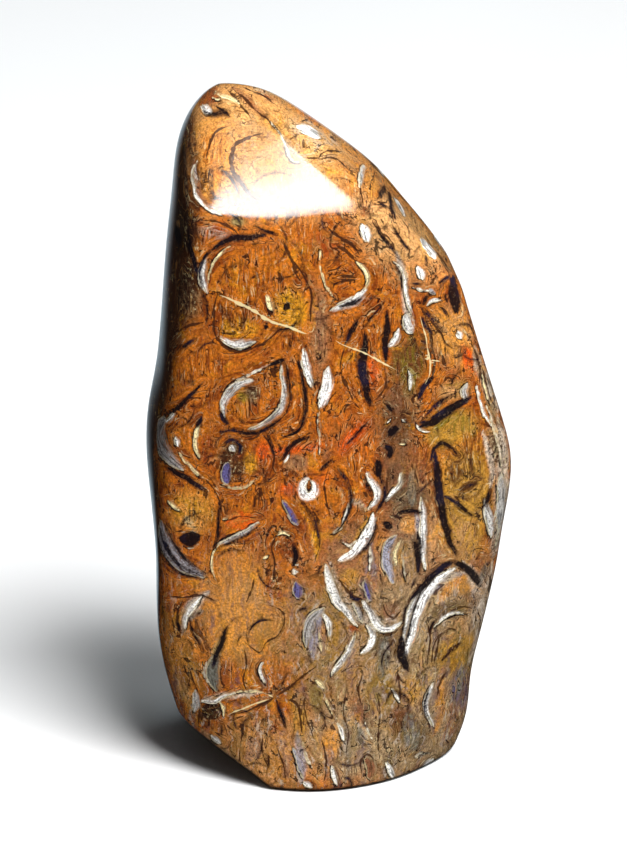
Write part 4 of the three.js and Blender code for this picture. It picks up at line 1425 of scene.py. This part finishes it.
def make_softbox():
    """The panel whose reflection lies on the shoulder, slanted on one side and dim in one corner."""
    place = from_azimuth(*SOFTBOX_PLACE)
    shader, s = glowing_panel("softbox", place, MIDDLE, SOFTBOX_SIZE, (1, 1, 1))
    spot = s.node("ShaderNodeTexCoord", output="Generated")
    x, y = s.axis(spot, 0), s.axis(spot, 1)
    slant = s.step(s.math("SUBTRACT", y, s.times(x, 1.25)), 0.1, 0.33, 1.0, 0.05)
    corner = s.step(s.math("SUBTRACT", y, s.times(x, 0.5)), -0.2, 0.1, 0.4, 1.0)
    right_side = s.step(x, 0.66, 0.78, 1.0, 0.0)
    lower_side = s.step(y, 0.1, 0.16, 0.0, 1.0)
    glow = s.times(slant, corner, right_side, lower_side, SOFTBOX_STRENGTH)
    s.feed(shader, "Emission Strength", glow)


def make_back_card():
    """Bright floor behind the stone that only reflections show. It fades away to both sides."""
    below = BACK_CARD_PLACE - Vector((0, 0, 1))
    shader, s = glowing_panel("back_card", BACK_CARD_PLACE, below, BACK_CARD_SIZE, BACK_CARD_TINT)
    spot = s.node("ShaderNodeNewGeometry", output="Position")
    turn = s.math("DIVIDE", s.math("ADD", s.axis(spot, 0), BACK_CARD_SHIFT), s.axis(spot, 1))
    left = s.step(turn, -0.5, -0.1, 0.0, 1.0)
    right = s.step(turn, 0.1, 0.2, 1.0, 0.0)
    s.feed(shader, "Emission Strength", s.times(left, right, BACK_CARD_STRENGTH))


def make_backdrop():
    """A pale wall round the floor, a little darker near the floor, which only the camera sees."""
    ring = {"radius1": WALL_RADIUS, "radius2": WALL_RADIUS, "depth": WALL_HEIGHT}
    wall, shader, s = setting_piece(
        "backdrop", bmesh.ops.create_cone, cap_ends=False, segments=96, **ring,
    )
    wall.location = (0, 0, WALL_HEIGHT / 2)
    wall.visible_diffuse = False
    wall.visible_glossy = False
    wall.visible_shadow = False
    shader.inputs["Base Color"].default_value = BLACK
    shader.inputs["Specular IOR Level"].default_value = 0
    shader.inputs["Emission Color"].default_value = WALL_TINT
    height = s.axis(s.node("ShaderNodeTexCoord", output="Generated"), 2)
    s.feed(shader, "Emission Strength", s.step(height, 0.0, 0.25, *WALL_STRENGTHS))


def make_floor():
    """A wide, matt, pale floor."""
    floor, shader, _ = setting_piece(
        "floor", bmesh.ops.create_grid, x_segments=4, y_segments=4, size=FLOOR_REACH,
    )
    shader.inputs["Base Color"].default_value = FLOOR_TINT
    shader.inputs["Roughness"].default_value = 0.9
    floor.visible_glossy = False
    floor.visible_diffuse = False


def set_world():
    """A dim room, which leaves nearly all of the lighting to the lights and panels."""
    world = bpy.data.worlds.new("studio")
    bpy.context.scene.world = world
    world.use_nodes = True
    s = Shader(world.node_tree)
    background = world.node_tree.nodes["Background"]
    background.inputs["Color"].default_value = ROOM_TINT
    glossy = s.node("ShaderNodeLightPath", output="Is Glossy Ray")
    s.feed(background, "Strength", s.step(glossy, 0.0, 1.0, *ROOM_STRENGTHS))


stone = make_stone()
relax(stone.data)
mark_stone(stone.data)
stone.data.materials.clear()
stone.data.materials.append(jasper_material())
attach(stone, "root")
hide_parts(STONE)

make_floor()
make_backdrop()
make_camera()
set_world()
make_softbox()
make_back_card()
make_lights(stone)
bpy.context.scene.view_settings.view_transform = "Standard"
